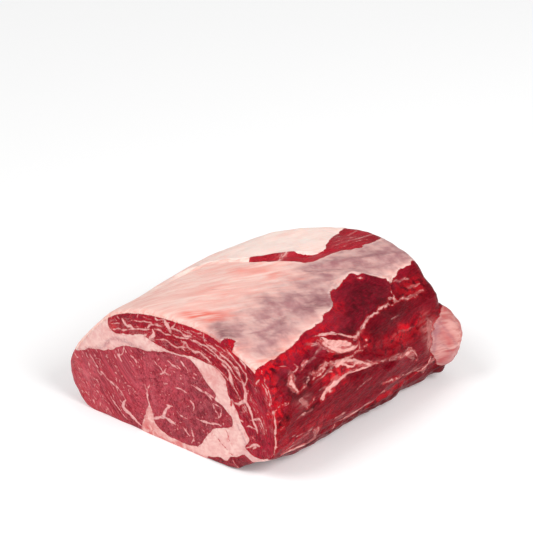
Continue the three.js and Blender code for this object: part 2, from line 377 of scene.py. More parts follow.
def spans_of(laid, spots):
    # for each span of a line: how far the spots are, and 1 at the line's ends, 0 halfway
    steps = len(laid) - 1
    for step in range(steps):
        run = laid[step + 1] - laid[step]
        share = np.clip((spots - laid[step]) @ run / max(run @ run, 1e-9), 0, 1)
        away = np.linalg.norm(spots - laid[step] - share[:, None] * run, axis=1)
        yield away, np.abs(2.0 * (step + share) / steps - 1.0)


def patch(rows, middle, reach):
    away = (rows - np.array(middle)) / np.array(reach)
    return np.exp(-(away ** 2).sum(axis=1))


def fold_skin(rows):
    lift = np.zeros(len(rows))
    rows = rows + ripples(rows, 12.0, 61) * SWAY
    strength = 1.0 + FOLD_UNEVEN * ripple(rows, 16.0, 64)
    for height, half, line in FOLDS:
        laid = laid_on_skin(line)
        reach = FOLD_REACH * half
        near = rows_near(rows, laid, reach)
        away = np.full(len(near), reach)
        for gap, ends in spans_of(laid, rows[near]):
            away = np.minimum(away, gap / (1.0 - FOLD_TAPER * ends ** 4))
        lift[near] += height * np.exp(-(away / half) ** 2)
    return lift * strength


def shape_skin(obj):
    rows = vertex_rows(obj.data)
    normals = normal_rows(obj.data)
    flat = smooth(*FACE_TURN, np.abs(normals[:, 1]))
    side = smooth(*SIDE_FROM, rows[:, 0]) * (1.0 - flat)
    top = smooth(*TOP_FROM, rows[:, 2]) * (1.0 - side) * (1.0 - flat)
    rest = 1.0 - np.maximum(side, np.maximum(top, flat))
    slant = rows - np.outer(SIDE_RISE * rows[:, 1], (0.0, 0.0, 1.0))
    fibres = ripple(slant, (7.0, 30.0, 5.0), 5)
    fibres += 0.7 * ripple(slant, (5.0, 14.0, 2.6), 6)
    lift = FIBRE_HEIGHT * fibres * side * smooth(*FIBRES_BELOW, rows[:, 2])
    places = {"side": side, "flat": flat, "top": top, "rest": rest}
    for place, height, wavelengths, seed in WAVES:
        lift += height * ripple(rows, wavelengths, seed) * places[place]
    lift += fold_skin(rows) * (1.0 - FOLDS_ON_FACE * flat)
    rags = ripple(slant, (5.0, 9.0, 4.2), 31) + 0.5 * ripple(slant, (3.4, 5.0, 3.0), 32)
    for middle, reach, height in RAGS:
        lift += height * patch(rows, middle, reach) * rags * (1.0 - RAGS_ON_FACE * flat)
    low = smooth(*LOW_BELOW, rows[:, 2]) * (1.0 - flat) * (rows[:, 2] > RESTING)
    lift += LOW_HEIGHT * low * ripple(rows, (13.0, 12.0, 10.0), 33)
    rows += normals * lift[:, None]
    rows[:, 2] = np.maximum(rows[:, 2], 0.0)
    set_rows(obj.data, rows)


def tree_over(obj):
    form = open_form(obj.data)
    tree = BVHTree.FromBMesh(form)
    form.free()
    return tree


roast = uncut_roast()
soften_skin(roast)
core = new_object("core", roast.data.copy())
voxel_skin(core, CORE_CELL)
skin_tree = tree_over(roast)
refine_cut_faces(roast)
shape_skin(roast)
skin_tree = tree_over(roast)
on_the_skin = roast.data.attributes.new("skin", "FLOAT", "POINT")
on_the_skin.data.foreach_set(
    "value", np.ones(len(roast.data.vertices), dtype=np.float32))

# ------------------------------------------------------------------- the eye muscle
# The big round muscle of the loin, pale red and finely marbled, runs the whole
# length of the roast. It is cut square at both ends and bare on the left side.
TUBE_STEP = 6.0
TUBE_REACH = 132.0
FOLLOW_FROM = -78.0
FOLLOW_PULL = 0.12
FOLLOW_LIFT = 0.05
SCRAP_SHARE = 0.001
EDGE_RAGGED = 0.85
EDGE_NICKS = 0.42
EYE_OUTLINE = [
    (-120, 44), (-96, 45), (-80, 52), (-61, 57), (-45, 66), (-25, 69),
    (-4, 74), (18, 77), (27, 74), (38, 63), (46, 56), (45, 52), (54, 48),
    (62, 41), (58, 34), (46, 29), (38, 20), (30, 9), (16, 5), (-2, 6),
    (-14, 12), (-20, 25), (-27, 8), (-34, -8), (-70, -12), (-120, -12)]
EYE_VEINS = [
    (1.3, [(-84, 54), (-78, 44), (-70, 37), (-60, 31), (-49, 27), (-44, 20)]),
    (2.9, [(-44, 21), (-47, 14), (-41, 10), (-34, 7), (-27, 2)]),
    (1.2, [(-62, 22), (-57, 15), (-50, 9), (-42, 4)]),
    (2.6, [(1, 32), (-3, 26), (-5, 21), (-10, 18), (-17, 15)]),
    (2.6, [(-5, 21), (1, 19.5), (6, 18)]),
    (1.3, [(-3, 31), (4, 32)]),
    (1.4, [(6, 49), (12, 49.5), (18, 48)]),
    (1.4, [(27, 57), (36, 55), (47, 53)]),
    (1.7, [(27, 31), (35, 30.5), (44, 32), (52, 33)]),
    (1.3, [(44, 49), (50, 47.5), (51, 42), (48, 38)]),
    (1.6, [(-19, 43), (-22, 34), (-20, 25), (-19, 17)]),
    (1.8, [(-52, 58), (-49, 55), (-46, 52)]),
    (1.3, [(-50, 62), (-49, 55)]),
    (1.5, [(4, 67), (10, 64.5)]),
    (1.3, [(13, 72), (17, 68)]),
    (1.5, [(-24, 42), (-21, 35)]),
    (1.3, [(12, 59), (13, 57)]),
    (1.4, [(-5, 58), (1, 57.5)]),
    (1.3, [(-2, 62), (-5, 57), (-11, 54)]),
    (1.2, [(20, 44), (25, 40), (24, 35)]),
    (1.1, [(8, 30), (13, 27), (19, 27)]),
    (1.2, [(22, 20), (24, 13), (22, 8)]),
    (1.2, [(-38, 60), (-30, 57)]),
    (1.4, [(12, 73), (16, 69)]),
    (1.5, [(25, 56), (36, 54), (43, 51)]),
    (1.3, [(42, 50), (45, 44), (49, 40), (46, 37)]),
    (1.3, [(11, 50), (19, 48)]),
    (1.1, [(12, 19), (17, 16), (21, 12)]),
    (1.2, [(-54, 56), (-53, 54), (-52, 52)]),
    (1.3, [(-44, 67), (-44, 64), (-46, 59), (-49, 57)]),
    (1.0, [(-39, 55), (-36, 54)]),
    (1.2, [(0, 68), (3, 67), (6, 65)]),
    (1.0, [(7, 67), (12, 66)]),
    (1.1, [(-14, 65), (-11, 62), (-7, 60), (-5, 57), (-1, 57)])]
EYE_MEMBRANE = [(-76, 53), (-69, 56), (-63, 61), (-59, 66), (-53, 69), (-47, 70),
                (-40, 71), (-36, 69), (-31, 69), (-26, 71), (-21, 70)]
EYE_FLECKS = 290
FLECK_SLANTS = (-48.0, -32.0)
FLECK_LENGTHS = (0.8, 3.4)
FLECK_WIDTHS = (0.25, 0.85)
FAR_WIDER = 1.1
FAR_LOWER = 0.93
FAR_SHIFT = 4.0
FAR_LIFT = 3.5
pieces = []


def through_volume(name, outline):
    # a tube along the roast that bends as the muscles do
    drawn = curve_through(outline, 11)
    form = bmesh.new()
    ring = [form.verts.new((x, -TUBE_REACH, z)) for x, z in drawn]
    cap_end = [form.faces.new(ring)]
    for step in range(int(2 * TUBE_REACH / TUBE_STEP)):
        grown = bmesh.ops.extrude_face_region(form, geom=cap_end)["geom"]
        moved = [item for item in grown if isinstance(item, bmesh.types.BMVert)]
        bmesh.ops.translate(form, verts=moved, vec=(0, TUBE_STEP, 0))
        if step:
            bmesh.ops.delete(form, geom=cap_end, context="FACES_ONLY")
        cap_end = [item for item in grown if isinstance(item, bmesh.types.BMFace)]
    bmesh.ops.recalc_face_normals(form, faces=form.faces)
    mesh = mesh_from(form, name)
    rows = vertex_rows(mesh) * MM
    share = smooth(-FACE_Y, FACE_Y, rows[:, 1])
    rows[:, 0] -= np.maximum(rows[:, 0] - FOLLOW_FROM, 0.0) * FOLLOW_PULL * share
    lift = FOLLOW_LIFT * np.sin(math.pi * share)
    rows[:, 2] += lift * np.maximum(rows[:, 2], 0.0)
    drift = [EDGE_RAGGED * ripple(rows, (7.5, 26.0, 7.5), seed)
             + EDGE_NICKS * ripple(rows, (3.4, 20.0, 3.4), seed + 2)
             for seed in (20, 21)]
    rows[:, 0] += drift[0]
    rows[:, 2] += drift[1]
    set_rows(mesh, rows)
    return new_object(name, mesh)


def cut_with(obj, volume, operation):
    cut = obj.modifiers.new("cut", "BOOLEAN")
    cut.operation = operation
    cut.solver = "MANIFOLD"
    cut.object = volume


def part_from_roast(name, volume):
    # the tissue inside the volume is taken out of what is left of the roast
    piece = new_object(name, roast.data.copy())
    cut_with(piece, volume, "INTERSECT")
    cut_with(roast, volume, "DIFFERENCE")
    take_modifiers(piece, roast)
    drop_scraps(piece, SCRAP_SHARE)
    spent = volume.data
    bpy.data.objects.remove(volume)
    bpy.data.meshes.remove(spent)
    return piece


def on_near_face(lines):
    return [(width, laid_on_skin([(x, -FACE_Y, z) for x, z in line]))
            for width, line in lines]


def on_far_face(lines):
    # the same marbling as it comes out at the far cut, seen from behind
    laid = []
    for width, line in lines:
        far = []
        for x, z in line:
            x = x - max(x - FOLLOW_FROM, 0.0) * FOLLOW_PULL
            x += FAR_SHIFT * math.sin(0.07 * z + 0.9)
            z = z * FAR_LOWER + FAR_LIFT * math.sin(0.05 * x + 2.0)
            far.append((x, FACE_Y, max(z, 2.0)))
        laid.append((width * FAR_WIDER, laid_on_skin(far)))
    return laid


def on_both_cuts(veins, threads=()):
    return (on_near_face(veins) + on_far_face(veins) + on_near_face(threads)
            + on_far_face(threads[::2]))


def on_skin(lines):
    return [(width, laid_on_skin(line)) for width, line in lines]


def inside_outline(outline, x, z):
    hit = False
    for a, b in zip(outline, outline[1:] + outline[:1]):
        if (a[1] > z) != (b[1] > z):
            if x < a[0] + (z - a[1]) * (b[0] - a[0]) / (b[1] - a[1]):
                hit = not hit
    return hit


def flecks(outline, count, box, seed):
    # short seeded threads of fat, slanting down to the right as the grain does
    random = np.random.default_rng(seed)
    lines = []
    while len(lines) < count:
        x = random.uniform(box[0], box[1])
        z = random.uniform(box[2], box[3])
        if not inside_outline(outline, x, z):
            continue
        left = float(smooth(-20.0, -70.0, np.array(x)))
        if random.random() > 0.55 + 0.45 * left:
            continue
        angle = math.radians(FLECK_SLANTS[0] * left + FLECK_SLANTS[1] * (1.0 - left))
        angle += random.normal(0.0, 0.25 + 0.75 * (1.0 - left))
        length = random.uniform(*FLECK_LENGTHS) + 5.0 * left * random.random()
        width = random.uniform(*FLECK_WIDTHS) ** 1.7 + 0.12
        bend = random.normal(0.0, 0.5)
        line = []
        for step in (-0.5, 0.0, 0.5):
            turn = angle + bend * step
            line.append((x + step * length * math.cos(turn),
                         z + step * length * math.sin(turn)))
        lines.append((width, line))
    return lines


def tint(red, green, blue):
    # a colour as it looks on a screen, turned into the light it sends back
    seen = np.array((red, green, blue)) / 255.0
    light = np.where(seen <= 0.04045, seen / 12.92, ((seen + 0.055) / 1.055) ** 2.4)
    return (float(light[0]), float(light[1]), float(light[2]), 1.0)


def blend(first, second, much, more):
    # so much of one paint stirred into so much of another
    return tuple(much * a + more * b for a, b in zip(first[:3], second[:3])) + (1.0,)


def set_inputs(node, inputs):
    for name, value in inputs.items():
        value = getattr(value, "socket", value)
        if isinstance(value, bpy.types.NodeSocket):
            node.id_data.links.new(value, node.inputs[name])
        else:
            node.inputs[name].default_value = value


def add_node(tree, kind, settings, inputs):
    node = tree.nodes.new(kind)
    for name, value in settings.items():
        setattr(node, name, value)
    set_inputs(node, inputs)
    return node


class Field:
    # a value that varies over a surface, and sums with it that become nodes
    def __init__(self, socket):
        self.socket = socket
        self.tree = socket.id_data

    def sum(self, operation, first, second=0.0):
        node = add_node(self.tree, "ShaderNodeMath", {"operation": operation},
                        {0: first, 1: second})
        return Field(node.outputs[0])

    def __add__(self, other):
        return self.sum("ADD", self, other)

    def __sub__(self, other):
        return self.sum("SUBTRACT", self, other)

    def __rsub__(self, other):
        return self.sum("SUBTRACT", other, self)

    def __mul__(self, other):
        return self.sum("MULTIPLY", self, other)

    def __abs__(self):
        return self.sum("ABSOLUTE", self)


def ease(value, low, high):
    node = add_node(value.tree, "ShaderNodeMapRange",
                    {"interpolation_type": "SMOOTHSTEP"},
                    {"Value": value, "From Min": low, "From Max": high})
    return Field(node.outputs["Result"])


def mixed(share, first, second):
    node = add_node(share.tree, "ShaderNodeMix", {"data_type": "RGBA"},
                    {0: share, 6: first, 7: second})
    return Field(node.outputs[2])


def noise(place, scale, detail=2.0, rough=0.5):
    node = add_node(place.tree, "ShaderNodeTexNoise", {},
                    {"Vector": place, "Scale": scale, "Detail": detail,
                     "Roughness": rough})
    return Field(node.outputs["Fac"])


def cells(place, scale, feature="F1"):
    node = add_node(place.tree, "ShaderNodeTexVoronoi", {"feature": feature},
                    {"Vector": place, "Scale": scale})
    return Field(node.outputs["Distance"])


def swayed(place, scale, reach):
    # the place pushed about by a soft noise
    sway = noise(place, scale).socket.node.outputs["Color"]
    node = add_node(place.tree, "ShaderNodeVectorMath", {"operation": "MULTIPLY_ADD"},
                    {0: sway, 1: (reach, reach, reach), 2: place})
    return Field(node.outputs[0])


def begin_group(name, inputs):
    group = bpy.data.node_groups.new(name, "ShaderNodeTree")
    for title, kind in inputs.items():
        group.interface.new_socket(title, in_out="INPUT", socket_type="NodeSocket" + kind)
    source = group.nodes.new("NodeGroupInput")
    return [Field(source.outputs[title]) for title in inputs]


def end_group(given, results):
    group = given.tree
    for title in results:
        group.interface.new_socket(title, in_out="OUTPUT",
                                   socket_type="NodeSocketFloat")
    set_inputs(group.nodes.new("NodeGroupOutput"), results)
    return group


def use_group(group, inputs):
    tree = next(iter(inputs.values())).tree
    node = add_node(tree, "ShaderNodeGroup", {"node_tree": group}, inputs)
    return {socket.name: Field(socket) for socket in node.outputs}


def muscle_grain():
    # bundles of fibre about 2 mm across, with pale threads between some of them
    grain, = begin_group("Muscle grain", {"Grain": "Vector"})
    place = swayed(grain, 0.35, 2.4)
    bundle = cells(place, 0.62)
    border = cells(place, 0.62, "DISTANCE_TO_EDGE")
    seam = cells(place, 0.13, "DISTANCE_TO_EDGE")
    fine = noise(place, 1.0, 4.0, 0.66)
    each = add_node(grain.tree, "ShaderNodeSeparateColor", {},
                    {0: bundle.socket.node.outputs["Color"]})
    tone = Field(each.outputs[0]) * 0.4 + fine * 0.75 + noise(grain, 0.07) * 0.5 - 0.32
    tone.socket.node.use_clamp = True
    return end_group(grain, {
        "Tone": tone,
        "Threads": ease(border, 0.11, 0.0) * ease(noise(grain, 0.16), 0.46, 0.66),
        "Seams": ease(seam, 0.07, 0.0) * ease(noise(grain, 0.2), 0.4, 0.62),
        "Fibres": noise(place, 1.1, 5.0, 0.7),
        "Height": bundle * -0.7 + fine})


def torn_edge():
    # the ragged line where fat meets lean, from the smooth distance to it
    place, edge, cut = begin_group(
        "Torn edge", {"Place": "Vector", "Edge": "Float", "Cut": "Float"})
    near = (noise(place, 0.75, 3.0, 0.6) - 0.5) * 1.5
    wide = (noise(place, 0.22) - 0.5) * 1.3
    moved = edge + (near + wide) * (1.75 - cut * 0.85)
    return end_group(place, {"Fat": ease(moved, -0.28, 0.32),
                             "Rim": ease(moved, -1.9, -0.2)})


def thin_film():
    # silverskin and smeared fat, thin enough to see the meat through, with frilled edges
    place, film = begin_group("Thin film", {"Place": "Vector", "Film": "Float"})
    near = (noise(place, 0.6, 4.0, 0.68) - 0.5) * 2.6
    wide = (noise(place, 0.22, 3.0, 0.6) - 0.5) * 3.2
    moved = film + (near + wide)
    streaks = ease(noise(place, 0.7, 3.0, 0.6), 0.22, 0.56)
    broken = ease(noise(place, 0.45, 3.0), 0.46, 0.6)
    band = ease(abs(moved), 0.4, 0.0) * ease(film, -2.6, -0.6)
    return end_group(place, {"Share": ease(moved, -1.3, 1.9) * streaks,
                             "Frill": band * broken})


MUSCLE_GRAIN = muscle_grain()
TORN_EDGE = torn_edge()
THIN_FILM = thin_film()


def begin_meat(name):
    # what every tissue starts from: its shader, and what is painted on its skin
    material = bpy.data.materials.new(name)
    material.use_nodes = True
    tree = material.node_tree
    where = tree.nodes.new("ShaderNodeTexCoord").outputs["Object"]
    scaled = add_node(tree, "ShaderNodeVectorMath", {"operation": "SCALE"},
                      {0: where, "Scale": 1.0 / MM})
    skin = {"place": Field(scaled.outputs[0])}
    for mark in ("grain", "cut", "fat_edge", "film", "deep", "warm", "haze"):
        node = add_node(tree, "ShaderNodeAttribute", {"attribute_name": mark}, {})
        skin[mark] = Field(node.outputs["Vector" if mark == "grain" else "Fac"])
    edge = use_group(TORN_EDGE, {"Place": skin["place"], "Cut": skin["cut"],
                                 "Edge": skin["fat_edge"]})
    film = use_group(THIN_FILM, {"Place": skin["grain"], "Film": skin["film"]})
    return material, skin, edge, film


def end_meat(material, colour, layers, height, bump, looks):
    # the layers of colour go on in turn, each with its share, and the shader takes all
    tree = material.node_tree
    for share, paint in layers:
        colour = mixed(share, colour, paint)
    relief = add_node(tree, "ShaderNodeBump", {},
                      {"Strength": bump[0], "Distance": bump[1] * MM, "Height": height})
    set_inputs(tree.nodes["Principled BSDF"],
               {"Base Color": colour, "Normal": relief.outputs["Normal"], **looks})
    return material


def lean_material(name, deep, flesh, pale, bright, fat, threads, gloss, wet=0.14):
    material, skin, edge, film = begin_meat(name)
    place, along, cut = skin["place"], skin["grain"], skin["cut"]
    grain = use_group(MUSCLE_GRAIN, {"Grain": along})
    strings = (1.0 - cut) * ease(grain["Fibres"], 0.34, 0.68)
    tone = cut * ease(grain["Tone"], 0.14, 0.8) + strings * 0.75
    blots = ease(noise(place, 0.26, 3.0, 0.6), 0.7, 0.34)
    warm = skin["warm"] * ease(noise(place, 0.22, 3.0, 0.6), 0.36, 0.58)
    hazy = noise(along, 0.5, 3.0, 0.65)
    smear = blend(fat, flesh, 0.4, 0.6)
    core_of_vein = ease(skin["fat_edge"], 0.05, 0.75)
    layers = [
        (ease(noise(along, 0.09, 3.0), 0.44, 0.7) * 0.35, pale),
        (grain["Seams"] * (cut * 0.55), deep),
        # the deep mark darkens darker muscle, and also carries painted shade in the tears and creases
        (skin["deep"] * (blots * 0.65 + 0.35), blend(deep, deep, 0.36, 0.0)),
        (warm, bright),
        (skin["haze"] * ease(hazy, 0.34, 0.62), smear),
        (film["Share"] * 0.8, smear),
        (grain["Threads"] * (cut * threads), smear),
        (film["Frill"] * 0.55, fat),
        (edge["Rim"] * 0.3, bright),
        (edge["Fat"] * (1.0 - ease(hazy, 0.62, 0.3) * 0.45),
         mixed(core_of_vein, blend(fat, flesh, 0.7, 0.3), fat))]
    rough = noise(place, 0.3, 3.0, 0.6) * 0.3 + (gloss - 0.15)
    return end_meat(
        material, mixed(tone, deep, flesh), layers,
        grain["Height"] + edge["Fat"] * 0.5 + film["Share"] * 0.5, (0.75, 0.9),
        {"Roughness": rough + edge["Fat"] * 0.08 - warm * 0.12,
         "Specular IOR Level": wet, "Subsurface Weight": 0.12,
         "Subsurface Radius": (1.0, 0.25, 0.2), "Subsurface Scale": 0.003})


def keep_piece(piece, node, material, lean, lines, films, washes):
    # the tissue stands for its solid, and its veins, films, stains and painted shade wait for later
    piece.data.materials.clear()
    piece.data.materials.append(material)
    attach(piece, "root")
    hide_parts(node)
    pieces.append((piece, lean, lines, films, washes))


eye = part_from_roast("eye_piece", through_volume("eye_volume", EYE_OUTLINE))
eye_threads = flecks(EYE_OUTLINE, EYE_FLECKS, (-98, 60, 4, 76), 41)
EYE_SKIN_FILMS = [
    (9.0, [(-98, -112, 44), (-99, -80, 42), (-100, -40, 44), (-99, 10, 40), (-97, 60, 43),
           (-94, 104, 42)]),
    (12.0, [(-96, -70, 16), (-97, -30, 20), (-97, 20, 14)]),
    (8.0, [(-92, 40, 10), (-94, 80, 16)]),
    (14.0, [(-60, -90, 1), (-54, -40, 0), (-58, 10, 0), (-50, 80, 1)]),
    (10.0, [(-84, -60, 4), (-80, -10, 4), (-84, 50, 5)])]
EYE_SKIN_LINES = [
    (1.4, [(-97, -20, 24), (-98, 4, 27), (-98, 14, 25)]),
    (2.4, [(-97, 40, 34), (-96, 66, 30), (-94, 96, 33)]),
    (2.2, [(-60, -90, 1), (-54, -40, 0), (-58, 10, 0), (-50, 80, 1)]),
    (1.4, [(-80, -60, 4), (-78, -10, 4), (-82, 50, 5)])]
EYE_WASHES = {
    "haze": [((-99, -30, 38), (12, 70, 12), 0.55), ((-96, 60, 30), (14, 34, 16), 0.5),
             ((-50, 0, 0), (40, 90, 6), 0.35), ((-85, -114, 24), (12, 6, 14), 0.3)],
    "warm": [((-99, -111, 34), (7, 8, 18), 1.0), ((-92, -112, 10), (9, 8, 8), 1.0),
             ((-80, -112, 3), (10, 8, 4), 0.9),
             ((58, -114, 38), (8, 6, 10), 0.5), ((-60, -113, 0), (22, 6, 4), 0.7),
             ((-99, 20, 22), (8, 60, 10), 0.35)],
    "deep": [((40, -114, 62), (26, 8, 14), 0.3), ((6, -114, 12), (30, 8, 9), 0.4),
             ((34, -114, 30), (26, 8, 24), 0.5), ((-46, -114, 4), (22, 8, 7), 0.4),
             ((56, -114, 44), (14, 8, 14), 0.4),
             ((-74, -114, 48), (20, 8, 6), 0.3), ((0, -114, 72), (22, 8, 4), 0.35),
             ((-98, -60, 8), (8, 60, 8), 0.5)]}
keep_piece(
    eye, "eye_muscle",
    lean_material("eye lean", tint(128, 14, 36), tint(200, 74, 88), tint(206, 94, 106),
                  tint(178, 22, 40), tint(240, 186, 182), 0.4, 0.44),
    True,
    on_both_cuts(EYE_VEINS, eye_threads) + on_skin(EYE_SKIN_LINES),
    on_skin(EYE_SKIN_FILMS),
    EYE_WASHES)

# --------------------------------------------------------------------- the rib lean
# A thin strip of dark lean is left under the right edge, where the rib bones
# were sawn away. It is coarse and wet, and tapers away into the kernel fat.
RIB_OUTLINE = [(36, -14), (37, 1), (44, 4), (50, 6), (56, 6), (61, 11), (67, 13),
               (72, 16.5), (77, 15), (80, 12), (86, 15), (93, 17), (97, 12), (90, 2),
               (84, -14)]
rib = part_from_roast("rib_piece", through_volume("rib_volume", RIB_OUTLINE))
keep_piece(
    rib, "rib_lean",
    lean_material("rib lean", tint(84, 2, 18), tint(164, 24, 44), tint(166, 46, 58),
                  tint(176, 14, 34), tint(226, 170, 164), 0.3, 0.36),
    True,
    on_near_face([(1.0, [(62, 9), (65, 5), (66, 1)]), (1.0, [(78, 13), (81, 8), (80, 3)]),
                  (1.4, [(84, 14), (90, 14)])]),
    on_skin([(4.0, [(84, -112, 4), (88, -60, 2), (86, 0, 2), (84, 70, 3)])]),
    {"deep": [((72, -112, 6), (10, 10, 5), 0.5), ((88, 0, 4), (10, 100, 5), 0.5)],
     "warm": [((90, -112, 12), (5, 8, 4), 0.8)]})

# ---------------------------------------------------------------------- the end fat
# A soft lump of pale fat bulges from the far lower corner, thinly veined red. It is
# finely lobed, and hangs on by the seam round it.
END_CENTRE = (96.0, 100.5, 38.5)
END_RADII = (19.5, 26.5, 23.5)
END_WAVES = 0.09


def lump_volume(name):
    form = bmesh.new()
    bmesh.ops.create_icosphere(form, subdivisions=4, radius=1.0)
    mesh = mesh_from(form, name)
    rows = vertex_rows(mesh) * MM
    wave = 1.0 + END_WAVES * (ripple(rows, 0.55, 30) + 0.6 * ripple(rows, 0.2, 34))
    set_rows(mesh, rows * wave[:, None] * END_RADII + END_CENTRE)
    return new_object(name, mesh)


def fat_grain():
    # soft lobes and fine stretched streaks of fat
    grain, = begin_group("Fat grain", {"Grain": "Vector"})
    place = swayed(grain, 0.12, 7.0)
    streak = noise(place, 0.36, 4.0, 0.6)
    lobes = noise(place, 0.13)
    return end_group(grain, {"Streak": streak, "Lobes": lobes,
                             "Blush": noise(place, 0.2, 3.0, 0.55),
                             "Height": streak + lobes * 1.2})


FAT_GRAIN = fat_grain()


def fat_material(name, cream, pink, peach, silver, lean, streaks=0.6):
    material, skin, edge, film = begin_meat(name)
    place, along, cut = skin["place"], skin["grain"], skin["cut"]
    grain = use_group(FAT_GRAIN, {"Grain": along})
    fine = noise(along, 0.8, 4.0, 0.65)
    smoke = ease(noise(place, 0.075, 3.0, 0.55) + (grain["Blush"] - 0.5) * 0.5,
                 0.68, 0.36)
    thick = ease(noise(place, 0.12, 3.0, 0.5), 0.78, 0.3)
    near = ease(skin["fat_edge"], 3.2, 0.1)
    layers = [
        (ease(grain["Lobes"], 0.42, 0.68) * 0.45, pink),
        (skin["warm"] * ease(grain["Blush"], 0.34, 0.56), peach),
        (skin["haze"] * (smoke * 0.28 + 0.72), blend(silver, cream, 0.6, 0.4)),
        (skin["haze"] * smoke * thick * 0.75, silver),
        (skin["deep"] * ease(fine, 0.2, 0.6) * 0.8, blend(silver, lean, 0.55, 0.06)),
        (film["Share"] * 0.6, silver),
        (near * ease(grain["Streak"], 0.42, 0.7) * (cut * 0.5), peach),
        (near * ease(fine, 0.36, 0.56) * ((1.0 - cut) * 0.6), cream),
        (1.0 - edge["Fat"], lean)]
    streak = ease(grain["Streak"], 0.38, 0.66) * streaks
    return end_meat(
        material, mixed(streak, cream, pink), layers,
        grain["Height"] - film["Share"] * 0.6, (0.55, 0.6),
        {"Roughness": noise(place, 0.2, 3.0, 0.6) * 0.3 + 0.34,
         "Specular IOR Level": 0.32, "Subsurface Weight": 0.2,
         "Subsurface Radius": (1.0, 0.45, 0.35), "Subsurface Scale": 0.004})


lump = part_from_roast("lump_piece", lump_volume("lump_volume"))
keep_piece(
    lump, "end_fat",
    fat_material("end fat", tint(212, 156, 148), tint(184, 102, 98), tint(176, 34, 44),
                 tint(152, 92, 102), tint(140, 18, 34), 1.0),
    False,
    on_skin([(-1.2, [(104, 98, 24), (103, 104, 20), (100, 110, 18)])]),
    on_skin([(1.8, [(97, 84, 58), (101, 90, 48), (106, 96, 36), (104, 100, 24)]),
             (1.8, [(99, 96, 57), (106, 100, 48), (108, 104, 36)]),
             (1.6, [(101, 80, 42), (106, 88, 34), (106, 96, 26)]),
             (5.0, [(97, 80, 58), (99, 79, 51), (101, 77, 42), (101, 77, 34)])]),
    {"warm": [((98, 94, 61), (9, 14, 5), 1.0), ((101, 82, 22), (6, 8, 5), 0.9),
              ((107, 104, 46), (6, 6, 10), 0.4), ((106, 90, 36), (5, 4, 14), 0.6),
              ((108, 98, 30), (6, 12, 4), 0.5), ((104, 84, 50), (6, 5, 6), 0.5)],
     "haze": [((98, 80, 53), (6, 7, 10), 1.0), ((101, 77, 40), (5, 5, 9), 0.8),
              ((103, 94, 21), (8, 14, 5), 0.6)]})

# ------------------------------------------------------------------- the ridge flap
# A thick flap of cream fat lies along the upper left, pulled up in one long ridge
# and folded over the strip of lean beside it. It is smooth, with long striations.
LAYER_FLOOR = 40.0
LAYER_TOP = 140.0
CORE_MIDDLE = (5.0, 45.0)
CORE_STRETCH = 1.12
PLAN_RAGGED = 1.5
PLAN_NICKS = 0.7
RIDGE_DEPTH = 8.5
RIDGE_PLAN = [
    (-66, -97), (-60, -68), (-56, -32), (-47, -10), (-26, 8), (-20, 22), (-6, 31),
    (3, 33), (9, 36), (12, 42), (13, 50), (9, 58), (2, 74), (-3, 90), (-4, 104),
    (-4, 140), (-98, 140), (-96, 60), (-93, 0), (-86, -60), (-76, -92)]


def plan_volume(name, plan, depth):
    # a prism over the plan, down to a depth below the skin of the roast
    drawn = curve_through(plan, 14)
    form = bmesh.new()
    ring = [form.verts.new((x * MM, y * MM, LAYER_FLOOR * MM)) for x, y in drawn]
    base = form.faces.new(ring)
    grown = bmesh.ops.extrude_face_region(form, geom=[base])["geom"]
    moved = [item for item in grown if isinstance(item, bmesh.types.BMVert)]
    bmesh.ops.translate(form, verts=moved, vec=(0, 0, (LAYER_TOP - LAYER_FLOOR) * MM))
    bmesh.ops.recalc_face_normals(form, faces=form.faces)
    mesh = mesh_from(form, name)
    rows = vertex_rows(mesh)
    drift = [ripple(rows, (9.0, 9.0, 90.0), seed)
             + PLAN_NICKS * ripple(rows, (4.0, 4.0, 90.0), seed + 2)
             for seed in (25, 26)]
    rows[:, 0] += PLAN_RAGGED * drift[0]
    rows[:, 1] += PLAN_RAGGED * drift[1]
    set_rows(mesh, rows)
    prism = new_object(name, mesh)
    below = core.data.copy()
    rows = vertex_rows(below)
    middle = np.array(CORE_MIDDLE)
    away = rows[:, [0, 2]] - middle
    reach = np.linalg.norm(away, axis=1)
    share = 1.0 - depth / np.maximum(reach, 12.0)
    rows[:, [0, 2]] = middle + away * share[:, None]
    rows[:, 1] *= CORE_STRETCH
    set_rows(below, rows)
    hollow = new_object(name + "_core", below)
    cut_with(prism, hollow, "DIFFERENCE")
    take_modifiers(prism)
    bpy.data.objects.remove(hollow)
    bpy.data.meshes.remove(below)
    return prism


ridge = part_from_roast("ridge_piece", plan_volume("ridge_volume", RIDGE_PLAN, RIDGE_DEPTH))
keep_piece(
    ridge, "fat_ridge",
    fat_material("ridge fat", tint(252, 220, 210), tint(238, 178, 166), tint(238, 140, 126),
                 tint(252, 230, 220), tint(180, 40, 50), 0.75),
    False,
    [],
    [],
    {"warm": [((-60, -60, 88), (14, 30, 10), 0.4), ((-96, -20, 60), (10, 60, 14), 0.35),
              ((-20, 12, 100), (6, 12, 6), 0.5), ((-96, 60, 66), (10, 30, 12), 0.3)],
     "haze": [((-52, -40, 92), (12, 44, 10), 0.7), ((-32, 20, 99), (14, 30, 8), 0.9),
              ((-10, 56, 102), (20, 30, 8), 0.9), ((-52, 50, 93), (24, 44, 14), 0.75),
              ((-30, 96, 98), (28, 26, 12), 0.7)]})

